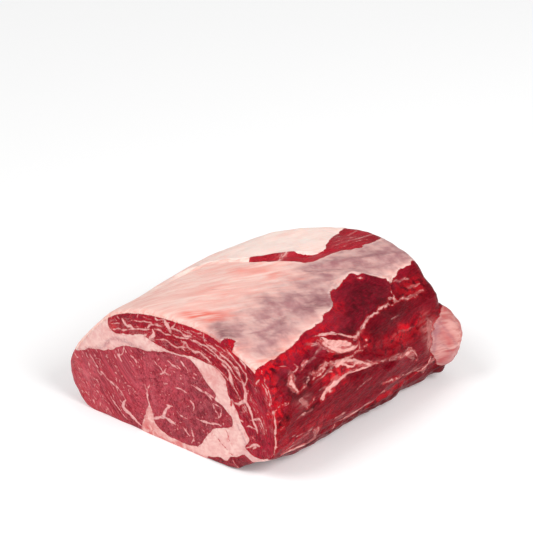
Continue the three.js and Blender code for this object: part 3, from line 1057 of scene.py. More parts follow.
# -------------------------------------------------------------------- the red strip
# Beside the flap a narrow strip of bright lean shows through the fat, and widens
# into a bare patch at the far end. It is stringy along the roast.
STRIP_DEPTH = 4.5
STRIP_PLAN = [
    (-25, 6), (-15, 5), (-5, 7), (2, 14), (9, 18), (15, 22), (19, 29), (21, 36), (22, 43),
    (23, 51), (25, 58), (28, 65), (31, 75), (30, 100), (30, 140), (-20, 140), (-20, 80),
    (-30, 36)]
strip = part_from_roast("strip_piece", plan_volume("strip_volume", STRIP_PLAN, STRIP_DEPTH))
keep_piece(
    strip, "strip_muscle",
    lean_material("strip lean", tint(142, 6, 26), tint(198, 30, 48), tint(196, 60, 72),
                  tint(190, 14, 32), tint(240, 196, 188), 0.4, 0.36),
    True,
    on_skin([(2.0, [(-1, 12, 102), (-5, 23, 102), (-6, 30, 102)]),
             (0.7, [(10, 66, 101), (12, 78, 100), (16, 90, 99)]),
             (0.7, [(20, 62, 101), (22, 76, 100), (24, 90, 98)])]),
    on_skin([(3.0, [(-1, 12, 102), (-5, 23, 102), (-6, 29, 102), (-3, 33, 102)]),
             (1.6, [(-3, 14, 102), (-8, 23, 102), (-9, 28, 102)]),
             (1.0, [(4, 76, 102), (6, 90, 101), (8, 106, 99)]),
             (1.2, [(14, 60, 103), (17, 76, 102), (20, 94, 100), (22, 108, 98)])]),
    {"haze": [((-7, 20, 102), (4, 8, 5), 0.4)], "warm": [((8, 26, 103), (8, 12, 5), 0.5)],
     "deep": [((27, 96, 102), (5, 12, 6), 0.5), ((-2, 84, 102), (5, 16, 6), 0.4)]})

# -------------------------------------------------------------------- the fat cover
# The rest of the back is under a thin cover of pink and cream fat, with silverskin
# showing grey and purple through it. It ends in a torn lip over the lean side.
COVER_DEPTH = 3.2
COVER_PLAN = [
    (-130, -140), (52, -140), (52, -114), (54, -110), (57.5, -106), (59, -109), (61, -113),
    (61, -140), (81, -140), (82, -113), (83, -104), (83, -96), (81, -82), (80, -66),
    (77, -56), (76, -46), (77, -36), (75, -29), (72, -24), (71, -14), (67, -6), (60, -1),
    (58, 3), (55, 16), (53, 24), (52, 33), (56, 40), (60, 49), (63, 53), (68, 61), (67, 68),
    (65, 78), (66, 90), (64, 98), (64, 140), (-130, 140)]
COVER_CREASES = [
    (1.0, [(51, -69, 101), (54, -58, 101), (55, -43, 100)]),
    (0.8, [(-6, -60, 104), (4, -52, 104), (12, -40, 104)]),
    (0.9, [(30, -50, 103), (40, -38, 102), (46, -28, 101)]),
    (3.0, [(58, -92, 100), (61, -78, 99), (61, -64, 99), (58, -50, 99)]),
    (2.4, [(64, -94, 97), (68, -80, 96), (67, -64, 96)]),
    (3.0, [(60, -34, 98), (62, -20, 97), (66, -10, 94)]),
    (4.0, [(30, 26, 103), (36, 44, 102), (42, 62, 101), (50, 84, 98)]),
    (3.0, [(24, 10, 103), (36, 20, 102), (44, 30, 101)]),
    (2.6, [(52, 52, 99), (56, 68, 97), (58, 84, 95)])]
cover = part_from_roast("cover_piece", plan_volume("cover_volume", COVER_PLAN, COVER_DEPTH))
keep_piece(
    cover, "fat_cover",
    fat_material("cover fat", tint(250, 211, 200), tint(238, 166, 154), tint(238, 118, 102),
                 tint(150, 92, 99), tint(150, 20, 36)),
    False,
    [],
    on_skin(COVER_CREASES),
    {"warm": [((15, -104, 105), (10, 7, 6), 0.9), ((25, -97, 105), (10, 8, 6), 1.0),
              ((31, -88, 105), (8, 12, 6), 0.8), ((-14, -20, 102), (14, 10, 6), 0.5),
              ((10, -10, 103), (16, 8, 6), 0.6), ((35, -4, 103), (10, 8, 5), 0.6),
              ((60, -106, 98), (7, 8, 5), 0.9), ((82, -90, 89), (4, 26, 5), 0.8),
              ((74, -72, 93), (6, 14, 5), 0.5), ((0, -60, 104), (20, 16, 6), 0.35),
              ((30, -40, 104), (16, 12, 6), 0.3), ((-96, -30, 62), (10, 60, 12), 0.4)],
     "haze": [((46, -104, 103), (8, 9, 6), 1.0), ((54, -98, 101), (6, 12, 6), 0.9),
              ((58, -80, 100), (7, 18, 6), 1.0), ((62, -62, 98), (7, 16, 6), 0.9),
              ((46, -46, 102), (12, 14, 6), 0.7), ((54, -28, 100), (11, 18, 6), 1.0),
              ((63, -10, 96), (7, 11, 6), 1.0), ((44, -8, 102), (12, 14, 6), 0.5),
              ((27, 18, 103), (18, 9, 6), 0.9), ((34, 40, 103), (14, 18, 7), 1.0),
              ((43, 62, 101), (15, 20, 8), 1.0), ((50, 90, 98), (16, 22, 9), 1.0),
              ((68, -84, 95), (7, 14, 6), 0.9), ((75, -98, 91), (4, 6, 5), 0.4),
              ((64, -66, 98), (20, 56, 10), 0.7), ((46, 66, 100), (26, 64, 12), 0.8),
              ((42, -84, 102), (16, 34, 8), 0.4), ((44, -30, 101), (22, 40, 8), 0.5),
              ((-100, 0, 60), (8, 70, 16), 0.3)],
     "deep": [((45, -107, 103), (9, 8, 6), 0.9), ((53, -105, 101), (6, 6, 5), 0.9),
              ((60, -18, 98), (7, 14, 6), 0.9), ((68, -8, 94), (6, 9, 5), 0.6),
              ((43, 48, 101), (5, 6, 5), 0.6), ((44, 74, 100), (6, 7, 5), 0.5),
              ((54, 60, 98), (4, 7, 5), 0.5), ((79, -88, 90), (4, 7, 4), 0.7),
              ((61, -56, 99), (3, 10, 4), 0.4)]})

# --------------------------------------------------------------------------- the cap
# The cap lies round the eye like a collar: a darker muscle with long white seams
# that follow its curve. Its back is bare where the fat cover is torn away.
CAP_OUTLINE = [
    (-59, 77), (-60, 83), (-56, 89), (-49, 94), (-36, 104), (0, 112), (40, 112),
    (70, 104), (90, 87), (96, 74), (99, 58), (100, 42), (99, 26), (94, 21), (86, 19), (78, 20), (74, 25),
    (77, 31), (75, 35), (70, 43), (66, 50), (62, 56), (58, 61), (57, 67), (54, 73), (49, 77),
    (40, 79), (29, 79), (19, 79), (6, 77), (-6, 77.5), (-17, 79), (-23, 81), (-30, 80),
    (-45, 76), (-53, 74)]
CAP_VEINS = [
    (2.6, [(-45, 88), (-43, 86), (-40, 84), (-36, 85), (-33, 84)]),
    (1.7, [(-56, 76), (-51, 78), (-45, 79), (-38, 82), (-33, 84), (-27, 85), (-21, 87),
           (-14, 89)]),
    (1.2, [(-57, 72), (-57, 75), (-55, 77)]),
    (3.2, [(-14, 90), (-14, 85), (-17, 81), (-19, 77)]),
    (2.4, [(-27, 79), (-26, 81), (-24, 81), (-18, 84)]),
    (1.6, [(-20, 88), (-18, 91), (-15, 94)]),
    (1.1, [(-36, 90), (-30, 91), (-23, 93), (-18, 94), (-13, 95)]),
    (1.3, [(-17, 92), (-11, 94), (-5, 94), (0, 93)]),
    (1.3, [(-14, 90), (-7, 91), (-3, 90), (4, 90)]),
    (3.0, [(-3, 101), (-1, 98), (2, 95), (4, 92)]),
    (1.6, [(3, 93), (7, 91), (13, 91), (22, 93), (31, 93), (40, 92), (46, 89), (51, 87),
           (57, 85), (61, 82), (64, 78), (68, 76), (72, 75)]),
    (1.5, [(3, 96), (7, 96), (13, 96), (18, 94), (24, 95)]),
    (1.5, [(8, 101), (6, 98), (4, 96)]),
    (1.5, [(-12, 82), (-7, 84), (0, 85), (5, 83), (9, 82), (14, 84), (20, 86)]),
    (1.2, [(13, 90), (15, 88), (20, 88)]),
    (0.9, [(15, 103), (16, 99)]),
    (1.3, [(-12, 100), (-10, 98), (-4, 100), (-4, 102)]),
    (1.2, [(-51, 89), (-48, 87)]), (1.1, [(-53, 86), (-50, 85)]),
    (1.1, [(-56, 81), (-53, 82), (-51, 83), (-46, 84)]), (1.0, [(-30, 94), (-29, 97)]),
    (1.6, [(35, 101), (37, 95), (43, 94), (52, 91), (59, 88), (63, 86), (67, 83), (70, 79)]),
    (2.2, [(51, 84), (59, 79), (61, 72), (67, 63)]),
    (1.4, [(56, 97), (60, 93), (67, 89), (71, 85), (75, 83), (75, 78), (74, 73)]),
    (1.2, [(65, 96), (69, 93), (73, 89), (75, 86)]),
    (2.6, [(72, 76), (74, 69), (75, 61), (79, 54), (82, 47), (85, 39)]),
    (2.4, [(63, 56), (68, 56), (74, 62), (74, 65), (77, 70)]),
    (1.1, [(87, 82), (82, 77)]),
    (1.3, [(79, 47), (87, 52), (90, 47)]), (1.3, [(93, 46), (94, 42)]),
    (1.6, [(68, 44), (72, 44)]), (1.2, [(75, 41), (79, 43), (84, 41)]),
    (2.0, [(75, 23), (81, 28), (88, 30)]), (1.8, [(81, 25), (84, 28)]),
    (1.6, [(12, 88), (18, 89), (22, 85), (31, 85), (36, 84), (42, 81), (44, 77)]),
    (1.3, [(21, 87), (25, 84), (32, 85)]),
    (1.1, [(89, 80), (94, 74), (97, 62)]), (1.0, [(83, 49), (86, 51), (90, 47), (92, 40)])]
CAP_MIDDLE = [(-48, 83), (-20, 90), (10, 94), (40, 91), (60, 83), (72, 70),
              (80, 56), (87, 42), (91, 30)]
CAP_STREAKS = 64


def cap_streaks(count, seed):
    # long near-parallel threads that follow the curve of the cap
    random = np.random.default_rng(seed)
    spine = curve_through(CAP_MIDDLE, 8, closed=False)
    run = np.gradient(spine, axis=0)
    across = np.stack([-run[:, 1], run[:, 0]], axis=1)
    across /= np.linalg.norm(across, axis=1)[:, None]
    lines = []
    for _ in range(count):
        start = int(random.uniform(2, len(spine) - 12))
        length = int(random.uniform(3, 12))
        offset = random.uniform(-11.0, 9.0)
        drift = random.uniform(-3.5, 3.5)
        line = []
        for step in range(start, min(start + length, len(spine) - 1), 3):
            away = offset + drift * (step - start) / length
            x, z = spine[step] + across[step] * away
            line.append((float(x), float(z) + random.normal(0.0, 0.25)))
        if len(line) > 1:
            lines.append((random.uniform(0.35, 0.75), line))
    return lines


cap = part_from_roast("cap_piece", through_volume("cap_volume", CAP_OUTLINE))
cap_threads = cap_streaks(CAP_STREAKS, 43) + flecks(CAP_OUTLINE, 30, (-58, 98, 20, 104), 44)
SIDE_LINES = [
    (3.6, [(82, -49, 87), (83, -40, 86), (85, -32, 84), (88, -24, 81), (90, -14, 77)]),
    (5.4, [(85, -44, 85), (88, -38, 82), (90, -30, 79), (92, -20, 76)]),
    (3.0, [(85, -46, 85), (90, -41, 80), (93, -32, 75), (94, -22, 73), (93, -12, 72)]),
    (2.6, [(90, -14, 77), (89, -6, 76), (88, 2, 77)]),
    (1.4, [(94, -48, 76), (97, -37, 70), (97, -23, 68), (96, -13, 68), (96, -2, 63)]),
    (1.8, [(92, 0, 72), (93, 3, 70)]), (1.6, [(94, -5, 68), (94, 2, 67)]),
    (1.3, [(92, -8, 70), (95, -10, 68)]), (1.4, [(92, -8, 73), (96, -12, 67)]),
    (2.3, [(87, 1, 77), (85, 10, 80), (83, 19, 82), (83, 28, 83), (83, 40, 81),
           (80, 48, 83)]),
    (1.5, [(80, 48, 83), (78, 55, 83), (73, 60, 87), (68, 66, 90)]),
    (1.6, [(79, 46, 84), (79, 54, 83), (82, 51, 80), (82, 43, 81)]),
    (1.3, [(82, 49, 80), (81, 61, 79), (83, 73, 77), (82, 85, 78)]),
    (2.4, [(61, 52, 96), (66, 59, 92), (68, 66, 90)]), (1.4, [(56, 36, 98), (59, 40, 97)]),
    (2.0, [(101, 76, 32), (98, 70, 24), (96, 61, 21)]),
    (1.2, [(98, -59, 69), (96, -47, 73), (97, -38, 70)]),
    (2.6, [(97, -45, 70), (98, -35, 68), (99, -21, 64), (101, -8, 57), (101, 5, 53)]),
    (5.6, [(103, -63, 51), (102, -57, 55), (102, -51, 57), (102, -46, 58)]),
    (4.0, [(102, -52, 57), (102, -44, 58), (102, -36, 58), (102, -28, 58)]),
    (2.8, [(102, -38, 58), (102, -28, 58), (101, -14, 57), (101, 0, 54)]),
    (2.4, [(98, -51, 68), (98, -42, 68), (98, -36, 67), (99, -30, 64), (100, -20, 62),
           (100, -11, 59)]),
    (1.8, [(101, 30, 47), (100, 40, 46), (99, 49, 45), (100, 53, 40), (100, 56, 34)]),
    (1.2, [(88, -95, 85), (89, -90, 83), (91, -87, 81)]),
    (3.0, [(94, -88, 77), (95, -91, 74), (97, -88, 69), (98, -85, 65)]),
    (1.2, [(90, -79, 82), (93, -80, 79), (93, -86, 78)]),
    (1.3, [(99, -71, 67), (98, -66, 69), (98, -58, 69), (96, -54, 72), (95, -48, 74)]),
    (1.5, [(97, -67, 72), (97, -61, 71), (96, -55, 72)]),
    (1.0, [(93, -76, 77), (92, -72, 79), (91, -66, 80)]),
    (0.9, [(98, -84, 65), (99, -80, 66), (99, -77, 67)]),
    (1.1, [(84, -108, 88), (89, -112, 84), (94, -113, 78), (96, -113, 73), (97, -113, 66)]),
    (1.5, [(98, -113, 64), (99, -113, 60), (100, -113, 55), (101, -113, 47),
           (101, -113, 40), (101, -113, 32), (98, -111, 24)]),
    (1.2, [(102, -112, 54), (102, -107, 55), (101, -103, 57), (99, -97, 61)]),
    (0.8, [(99, -113, 61), (100, -110, 63), (100, -103, 63), (99, -98, 62)]),
    (1.1, [(101, -113, 46), (103, -111, 46), (103, -107, 47), (103, -106, 49)]),
    (1.0, [(102, -79, 51), (102, -74, 52), (101, -71, 56)]),
    (1.6, [(102, -72, 30), (102, -66, 29), (100, -65, 24)]),
    (2.4, [(101, 14, 26), (102, 3, 26), (102, -8, 25), (101, -18, 24), (101, -26, 23),
           (101, -34, 23)]),
    (1.2, [(101, -30, 23), (100, -40, 21), (97, -44, 15)]),
    (1.4, [(101, 33, 30), (102, 23, 32), (103, 10, 35)]),
    (2.0, [(98, -66, 19), (97, -73, 17), (98, -83, 19), (98, -94, 21), (98, -104, 22)])]
SIDE_FILMS = [
    (7.0, [(84, -50, 86), (88, -44, 82), (92, -34, 77), (94, -20, 73)]),
    (3.4, [(92, -14, 75), (90, -8, 76), (88, 0, 77), (86, 6, 79)]),
    (4.4, [(98, -54, 69), (97, -43, 70), (98, -35, 68), (99, -26, 65), (101, -14, 60),
           (101, 2, 54)]),
    (7.0, [(102, -58, 55), (102, -50, 58), (101, -42, 60)]),
    (3.4, [(101, 20, 50), (101, 31, 48), (100, 40, 47), (99, 49, 45), (100, 54, 38)]),
    (4.6, [(100, 42, 45), (99, 48, 43), (100, 51, 38)]),
    (5.0, [(91, -88, 81), (94, -88, 77), (95, -91, 74), (97, -89, 69), (98, -86, 65)]),
    (4.4, [(100, -85, 58), (101, -81, 56), (102, -79, 52)]),
    (3.4, [(97, -68, 72), (97, -60, 71), (95, -50, 74)]),
    (2.6, [(93, -77, 78), (92, -72, 79), (91, -67, 80)]),
    (1.8, [(83, -57, 87), (87, -48, 83), (91, -57, 80), (92, -70, 79)]),
    (1.6, [(103, 7, 36), (102, 22, 32), (100, 37, 29), (98, 55, 25), (98, 68, 25)]),
    (4.0, [(96, 71, 18), (98, 70, 24), (100, 80, 26)]),
    (4.4, [(102, -70, 29), (100, -66, 24), (99, -68, 20)]),
    (3.6, [(98, -66, 19), (97, -74, 17), (98, -84, 19), (98, -94, 21), (98, -104, 23)]),
    (3.0, [(101, 14, 26), (102, 3, 27), (102, -7, 25), (101, -20, 23), (101, -32, 24)]),
    (1.4, [(70, 66, 89), (72, 81, 86)]), (1.4, [(77, 73, 83), (78, 86, 81)]),
    (7.0, [(95, 77, 60), (98, 75, 52), (100, 73, 45), (101, 72, 38)]),
    (2.4, [(66, -112, 94), (74, -108, 92), (80, -100, 90)]),
    (3.0, [(82, 60, 79), (82, 72, 78), (82, 86, 77)])]
# painted shade: dark lines in the tears and creases of the side and low along it, by width and line
SIDE_CREASE_SHADE = [
    (1.8, TEAR_ABOVE),
    (2.2, TEAR_MIDDLE),
    (1.8, TEAR_BELOW),
    (1.6, [(95, -97, 75), (97, -93, 68), (99, -92, 60)]),
    (1.4, [(97, -111, 76), (95, -104, 77), (94, -98, 79)]),
    (1.2, TEAR_BEHIND),
    (1.2, TEAR_DOWN),
    (1.4, [(100, -84, 50), (102, -76, 48), (102, -68, 50)]),
    (1.3, [(93, -46, 76), (96, -32, 72), (97, -16, 70)]),
    (1.1, [(84, 40, 79), (84, 28, 81), (85, 16, 80), (88, 5, 77)]),
    (2.4, [(98, -104, 17), (99, -84, 13), (98, -62, 14)]),
    (1.8, [(98, -50, 13), (100, -24, 16), (101, 0, 17), (100, 24, 16)]),
    (1.6, [(100, 30, 14), (99, 52, 15), (99, 74, 18)]),
    (1.6, [(100, 74, 34), (101, 79, 24), (102, 90, 17)]),
    (1.2, TEAR_REAR),
    (1.0, [(66, 62, 91), (72, 58, 88), (76, 52, 86)]),
    (1.2, [(72, 80, 84), (76, 84, 80), (80, 92, 76)])]
SIDE_WASHES = {
    "gaps": SIDE_CREASE_SHADE,
    # deep marks darker muscle in its large patches; its small patches in the tears at the near corner
    # are painted shade, and its long low band makes the side darker towards the bottom
    "deep": [((88, -99, 85), (4, 6, 3), 0.7), ((97, -97, 69), (4, 6, 6), 0.8),
             ((102, -107, 52), (4, 5, 3), 0.8), ((99, -87, 62), (4, 6, 4), 0.6),
             ((82, 78, 82), (12, 26, 10), 0.8),
             ((70, 30, 92), (18, 30, 14), 0.75), ((76, 4, 87), (9, 20, 8), 0.55),
             ((88, 38, 73), (8, 26, 10), 0.5), ((92, 10, 70), (7, 14, 8), 0.55),
             ((86, -9, 81), (5, 16, 4), 0.75), ((87, -62, 84), (6, 10, 4), 0.6),
             ((95, -62, 75), (5, 9, 3), 0.7), ((93, -94, 78), (5, 5, 6), 0.6),
             ((89, -102, 83), (6, 6, 4), 0.8), ((96, -105, 73), (6, 5, 5), 0.9),
             ((102, -106, 51), (6, 6, 4), 0.8), ((99, -76, 66), (6, 9, 4), 0.5),
             ((100, 0, 9), (12, 110, 7), 0.75), ((99, 72, 48), (5, 8, 9), 0.35),
             ((100, 86, 18), (8, 14, 6), 0.7), ((99, 40, 55), (8, 30, 5), 0.35),
             ((103, -45, 34), (6, 30, 5), 0.35)],
    "warm": [((99, -108, 62), (8, 9, 14), 1.0), ((92, -108, 80), (8, 8, 9), 1.0),
             ((101, -36, 61), (4, 16, 2.4), 1.0), ((103, -45, 54), (4, 10, 2.2), 0.9),
             ((86, -104, 87), (6, 10, 4), 1.0), ((84, -78, 87), (5, 24, 4), 1.0),
             ((81, -40, 88), (5, 22, 5), 0.8), ((93, 46, 63), (6, 26, 4), 0.9),
             ((100, -44, 64), (5, 16, 3), 1.0), ((97, 45, 56), (8, 34, 6), 0.5),
             ((103, -68, 34), (6, 24, 8), 0.35), ((100, 20, 20), (8, 50, 4), 0.6),
             ((76, 78, 82), (10, 20, 8), 0.6), ((92, -2, 70), (6, 9, 6), 0.8),
             ((101, -100, 30), (6, 12, 8), 0.4), ((66, -3, 94), (6, 6, 4), 1.0),
             ((55, 14, 98), (3, 14, 4), 0.7), ((93, -34, 77), (4, 14, 3), 0.9),
             ((72, -18, 92), (3, 14, 4), 0.8)],
    "haze": [((101, -82, 56), (6, 7, 5), 0.5), ((97, 76, 55), (6, 8, 8), 0.9),
             ((100, 73, 42), (5, 5, 9), 0.7), ((76, -100, 92), (5, 8, 5), 0.6)]}
CAP_CUT_WASHES = {
    "deep": [((-46, -114, 86), (14, 6, 8), 0.35), ((62, -114, 70), (8, 6, 12), 0.35)],
    "warm": [((60, -112, 98), (9, 6, 6), 0.9), ((-56, -114, 80), (4, 6, 8), 0.8),
             ((20, -114, 103), (60, 6, 3), 0.6)],
    "haze": [((-36, -114, 80), (20, 6, 4), 0.4)]}
keep_piece(
    cap, "cap_muscle",
    lean_material("cap lean", tint(102, 0, 20), tint(166, 18, 44), tint(174, 48, 66),
                  tint(204, 10, 28), tint(238, 182, 176), 0.6, 0.38, 0.1),
    True,
    on_both_cuts(CAP_VEINS, cap_threads) + on_skin(SIDE_LINES),
    on_skin(SIDE_FILMS),
    {name: SIDE_WASHES[name] + CAP_CUT_WASHES.get(name, []) for name in SIDE_WASHES})

# -------------------------------------------------------------------- the kernel fat
# Between eye and cap lies the big kernel of white fat. It runs down under the cap,
# along the underside and up the left, where it shows between flap and eye.
KERNEL_OUTLINE = [
    (-90, 42), (-92, 72), (-60, 88), (0, 96), (60, 90), (84, 70), (92, 40),
    (94, 22), (88, 12), (74, 4), (62, -10), (-30, -12), (-52, -8), (-44, 16),
    (0, 34)]
KERNEL_LINES = [
    (-0.7, [(52, 40), (56, 30), (60, 22)]),
    (-0.6, [(44, 24), (52, 18), (62, 12)]),
    (-1.6, [(60, 62), (61, 56), (60, 52)])]
kernel = part_from_roast("kernel_piece", through_volume("kernel_volume", KERNEL_OUTLINE))
keep_piece(
    kernel, "kernel_fat",
    fat_material("kernel fat", tint(236, 196, 188), tint(220, 154, 150), tint(206, 88, 88),
                 tint(168, 100, 108), tint(190, 60, 66)),
    False,
    on_both_cuts(KERNEL_LINES),
    on_near_face([(3.0, EYE_MEMBRANE), (1.0, [(-92, 48), (-74, 55), (-61, 64)]),
                  (2.0, [(66, 40), (72, 32), (76, 24)])])
    + on_skin([(8.0, [(-40, -90, 0), (-20, -30, 0), (-30, 40, 0), (-16, 90, 0)])]),
    {"haze": [((76, -114, 22), (6, 8, 5), 0.6), ((86, -114, 16), (10, 6, 3), 0.4)],
     "warm": [((-22, -114, 8), (9, 8, 16), 0.7), ((10, -114, 2), (40, 8, 3), 0.7),
              ((66, -114, 50), (5, 8, 8), 0.35), ((44, -114, 70), (12, 8, 12), 0.4),
              ((0, 0, 0), (60, 90, 5), 0.5), ((-96, -112, 46), (6, 6, 5), 0.7)]})

# -------------------------------------------------------------------- the side muscle
# The long right side is bare lean, torn along the seams where it was pulled from
# the ribs: dark, wet and stringy, with scraps of fat and silverskin left on it.
SIDE_THREADS = 30


def side_threads(count, seed):
    # faint torn fibres that climb slightly towards the far end
    random = np.random.default_rng(seed)
    lines = []
    for _ in range(count):
        y = random.uniform(-108.0, 96.0)
        z = random.uniform(16.0, 84.0)
        length = random.uniform(5.0, 22.0)
        rise = SIDE_RISE + random.normal(0.0, 0.07)
        line = [(110.0, y + step * length, z + step * length * rise
                 + random.normal(0.0, 0.4)) for step in (0.0, 0.35, 0.7, 1.0)]
        lines.append((random.uniform(0.3, 1.1), line))
    return lines


side = roast
side.name = "side_piece"
drop_scraps(side, 1.0)
keep_piece(
    side, "side_muscle",
    lean_material("side lean", tint(84, 0, 14), tint(150, 10, 30), tint(150, 30, 46),
                  tint(210, 18, 34), tint(236, 176, 168), 0.2, 0.32, 0.08),
    True,
    on_skin(SIDE_LINES),
    on_skin(SIDE_FILMS + side_threads(SIDE_THREADS, 47)),
    SIDE_WASHES)

# ---------------------------------------------------------------- the cut and torn skin
# The knife and the butcher's hands finish the surface: fat stands a little proud
# of the lean, seams sink, and juice and silverskin stain the places beside them.
# Painted shade darkens the tears and creases of the side.
WALL_EDGE = 4.0
FIELD_LIMIT = 9.0
MEET_GAP = 0.25
FAT_PROUD = 0.35
VEIN_PROUD = 0.22
TOP_RUN = (0.48, 0.877)
WASH_SHIFT = 3.0
LINE_SHIFT = 0.75
LINE_SWELL = 0.5
LINE_REACH = 5.0
LINE_TAPER = 0.65
SEAM_SUNK = 0.15
GRAIN_SHORT = {"lean": 6.0, "fat": 8.0, "cap": 2.6}
DIAGONAL = 0.7071
LEFT_SQUEEZE = 0.55
CAP_TURN_CENTRE = (20.0, 25.0)
CAP_TURN_RADIUS = 80.0
SHARP_ANGLE = 50.0


def on_the_outside(mesh):
    mark = np.empty(len(mesh.vertices), dtype=np.float32)
    mesh.attributes["skin"].data.foreach_get("value", mark)
    return mark > 0.5


def rim_vertices(mesh, on):
    pairs = np.empty(len(mesh.edges) * 2, dtype=np.int32)
    mesh.edges.foreach_get("vertices", pairs)
    pairs = pairs.reshape(-1, 2)
    first = on[pairs[:, 0]]
    second = on[pairs[:, 1]]
    rim = np.zeros(len(on), dtype=bool)
    rim[pairs[~first & second, 0]] = True
    rim[pairs[first & ~second, 1]] = True
    return rim


def tree_of(points):
    tree = KDTree(len(points))
    for index, point in enumerate(points):
        tree.insert(point, index)
    tree.balance()
    return tree


def meeting_points():
    # the line on the skin along which a lean piece touches a fat one
    rims = {True: [], False: []}
    for piece, lean, _, _, _ in pieces:
        on = on_the_outside(piece.data)
        rims[lean].append(vertex_rows(piece.data)[rim_vertices(piece.data, on)])
    fat_tree = tree_of(np.concatenate(rims[False]))
    return [point for point in np.concatenate(rims[True])
            if fat_tree.find(point)[2] < MEET_GAP]


def line_field(rows, lines):
    # how far inside the nearest line a point is, in mm, below zero outside
    field = np.full(len(rows), -FIELD_LIMIT)
    swell = 1.0 + LINE_SWELL * ripple(rows, 4.0, 76)
    for width, laid in lines:
        near = rows_near(rows, laid, LINE_REACH)
        if len(near):
            best = field[near]
            thick = 0.5 * width * swell[near]
            for away, ends in spans_of(laid, rows[near]):
                half = thick * (1.0 - LINE_TAPER * ends ** 3)
                best = np.maximum(best, half - away)
            field[near] = best
    return field


def wash(rows, patches):
    amount = np.zeros(len(rows))
    for centre, radii, strength in patches:
        amount += strength * patch(rows, centre, radii)
    return np.clip(amount, 0.0, 1.0)


def muscle_plane(points):
    # where a point lies on the drawing of the near cut face
    share = smooth(-FACE_Y, FACE_Y, points[:, 1])
    pull = FOLLOW_PULL * share
    drawn_x = np.where(points[:, 0] > FOLLOW_FROM,
                       (points[:, 0] - FOLLOW_FROM * pull) / (1.0 - pull), points[:, 0])
    lift = 1.0 + FOLLOW_LIFT * np.sin(math.pi * share)
    drawn_z = np.where(points[:, 2] > 0.0, points[:, 2] / lift, points[:, 2])
    return drawn_x, drawn_z


def grain_rows(piece, rows, lean, cut):
    # fibre coordinates in mm: across, along (shortened), and deep
    if not lean:
        along = rows[:, 0] * TOP_RUN[0] + rows[:, 1] * TOP_RUN[1]
        across = rows[:, 0] * TOP_RUN[1] - rows[:, 1] * TOP_RUN[0]
        return np.stack([across, along / GRAIN_SHORT["fat"], rows[:, 2]], axis=1)
    drawn_x, drawn_z = muscle_plane(rows)
    slant = SIDE_RISE * (rows[:, 1] + FACE_Y) * smooth(60.0, 90.0, rows[:, 0])
    down = (drawn_x - drawn_z) * DIAGONAL
    squeeze = down * LEFT_SQUEEZE * smooth(-25.0, -70.0, drawn_x)
    far = rows[:, 1] / GRAIN_SHORT["lean"]
    plain = np.stack([drawn_x - DIAGONAL * squeeze, far,
                      drawn_z + DIAGONAL * squeeze - slant], axis=1)
    if not piece.name.startswith("cap"):
        return plain
    right = drawn_x - CAP_TURN_CENTRE[0]
    up = drawn_z - CAP_TURN_CENTRE[1]
    turn = np.arctan2(up, right) * CAP_TURN_RADIUS / GRAIN_SHORT["cap"]
    curved = np.stack([np.hypot(up, right), far, turn], axis=1)
    return np.where((cut > 0.5)[:, None], curved, plain)


def store(mesh, name, values):
    if values.ndim == 2:
        layer = mesh.attributes.new(name, "FLOAT_VECTOR", "POINT")
        layer.data.foreach_set("vector", values.astype(np.float32).ravel())
    else:
        layer = mesh.attributes.new(name, "FLOAT", "POINT")
        layer.data.foreach_set("value", values.astype(np.float32))


meeting = tree_of(meeting_points())
for piece, lean, lines, films, washes in pieces:
    mesh = piece.data
    rows = vertex_rows(mesh)
    on = on_the_outside(mesh)
    shown = on | rim_vertices(mesh, on)
    border = np.array([meeting.find(point)[2] for point in rows[shown]])
    border = np.minimum(border, FIELD_LIMIT)
    bent = rows[shown] + ripples(rows[shown], 5.0, 70) * LINE_SHIFT
    if lean:
        edge = np.full(len(rows), -WALL_EDGE)
        edge[shown] = np.maximum(-border, line_field(bent, lines))
        lift = VEIN_PROUD * smooth(0.0, 1.0, edge) - SEAM_SUNK * smooth(0.0, 1.5, -edge)
    else:
        edge = np.full(len(rows), WALL_EDGE)
        veins = line_field(bent, [(-width, laid) for width, laid in lines])
        edge[shown] = np.minimum(border, -veins)
        lift = FAT_PROUD * smooth(0.0, 1.2, edge)
    veil = np.full(len(rows), -FIELD_LIMIT)
    veil[shown] = line_field(bent, films)
    # painted shade: the dark lines in the tears and creases darken the skin through the deep mark
    gap = np.zeros(len(rows))
    if "gaps" in washes:
        gap[shown] = smooth(-0.9, 0.7, line_field(bent, on_skin(washes["gaps"])))
    normals = normal_rows(mesh)
    pinned = smooth(0.0, 0.6, np.minimum(np.abs(edge), 1.0))
    rows[on] += (normals * (lift * pinned)[:, None])[on]
    rows[:, 2] = np.maximum(rows[:, 2], 0.0)
    cut = smooth(0.5, 0.85, np.abs(normals[:, 1]))
    shifted = rows + ripples(rows, 9.0, 50) * WASH_SHIFT
    warm, haze, deep = (wash(shifted, washes.get(name, []))
                        for name in ("warm", "haze", "deep"))
    store(mesh, "fat_edge", edge)
    store(mesh, "film", veil)
    store(mesh, "cut", cut)
    store(mesh, "grain", grain_rows(piece, rows, lean, cut))
    store(mesh, "deep", np.maximum(deep, gap))
    store(mesh, "warm", warm)
    store(mesh, "haze", haze)
    set_rows(mesh, rows)
    mesh.attributes.remove(mesh.attributes["skin"])
    mesh.polygons.foreach_set("use_smooth", np.ones(len(mesh.polygons), dtype=bool))
    mesh.set_sharp_from_angle(angle=math.radians(SHARP_ANGLE))
bpy.data.objects.remove(core)

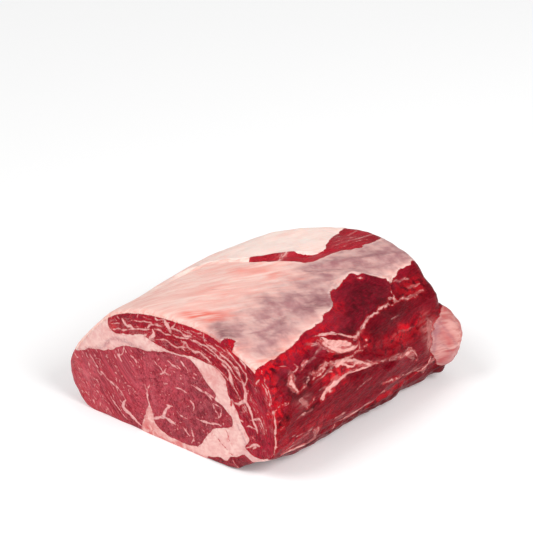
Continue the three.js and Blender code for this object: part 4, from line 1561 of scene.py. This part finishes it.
# ------------------------------------------------------------------------- the floor
# A plain pale floor, wide enough to fill the view. It gives back a little light of
# its own, as a white table in a light tent does.
FLOOR_HALF = 6.0
FLOOR_COLOUR = (0.93, 0.93, 0.93, 1.0)
FLOOR_GLOW = 0.12
form = bmesh.new()
bmesh.ops.create_grid(form, x_segments=1, y_segments=1, size=FLOOR_HALF)
floor = new_object("floor", mesh_from(form, "floor"))
floor_paint = bpy.data.materials.new("pale floor")
floor_paint.use_nodes = True
set_inputs(floor_paint.node_tree.nodes["Principled BSDF"],
           {"Base Color": FLOOR_COLOUR, "Roughness": 0.9, "Specular IOR Level": 0.1,
            "Emission Color": (1.0, 1.0, 1.0, 1.0), "Emission Strength": FLOOR_GLOW})
floor.data.materials.append(floor_paint)

# ------------------------------------------------------------------------ the lights
# Soft studio light: an even pale room, a broad key from the upper left in front
# and a smaller lamp from the right, which draws the glints on the wet side.
ROOM_LIGHT = 0.42
scene = bpy.context.scene
scene.view_settings.view_transform = "Standard"
room = bpy.data.worlds.new("studio")
scene.world = room
room.use_nodes = True
set_inputs(room.node_tree.nodes["Background"],
           {"Color": (1.0, 1.0, 1.0, 1.0), "Strength": ROOM_LIGHT})


def lamp_at(name, kind, power, place):
    lamp = bpy.data.lights.new(name, kind)
    lamp.energy = power
    held = new_object(name, lamp)
    held.location = place
    held.rotation_euler = Vector(place).to_track_quat("Z", "Y").to_euler()
    return lamp


key = lamp_at("key", "SUN", 1.5, (-0.30, -0.62, 0.72))
key.angle = math.radians(35.0)
glint = lamp_at("glint", "AREA", 16.0, (1.25, -0.25, 1.0))
glint.shape = "DISK"
glint.size = 0.8

# ------------------------------------------------------------------------ the camera
# The camera looks down on the near corner, at the angle of the photograph, through
# a long lens, so that the edges of the block hardly close up.
CAMERA_PLACE = (0.871, -1.039, 0.726)
CAMERA_AIM = (-0.0068, 0.0051, 0.0996)
lens = bpy.data.cameras.new("camera")
lens.lens = 133.0
lens.sensor_width = 36.0
camera = new_object("camera", lens)
camera.location = CAMERA_PLACE
view_line = Vector(CAMERA_PLACE) - Vector(CAMERA_AIM)
camera.rotation_euler = view_line.to_track_quat("Z", "Y").to_euler()
scene.camera = camera
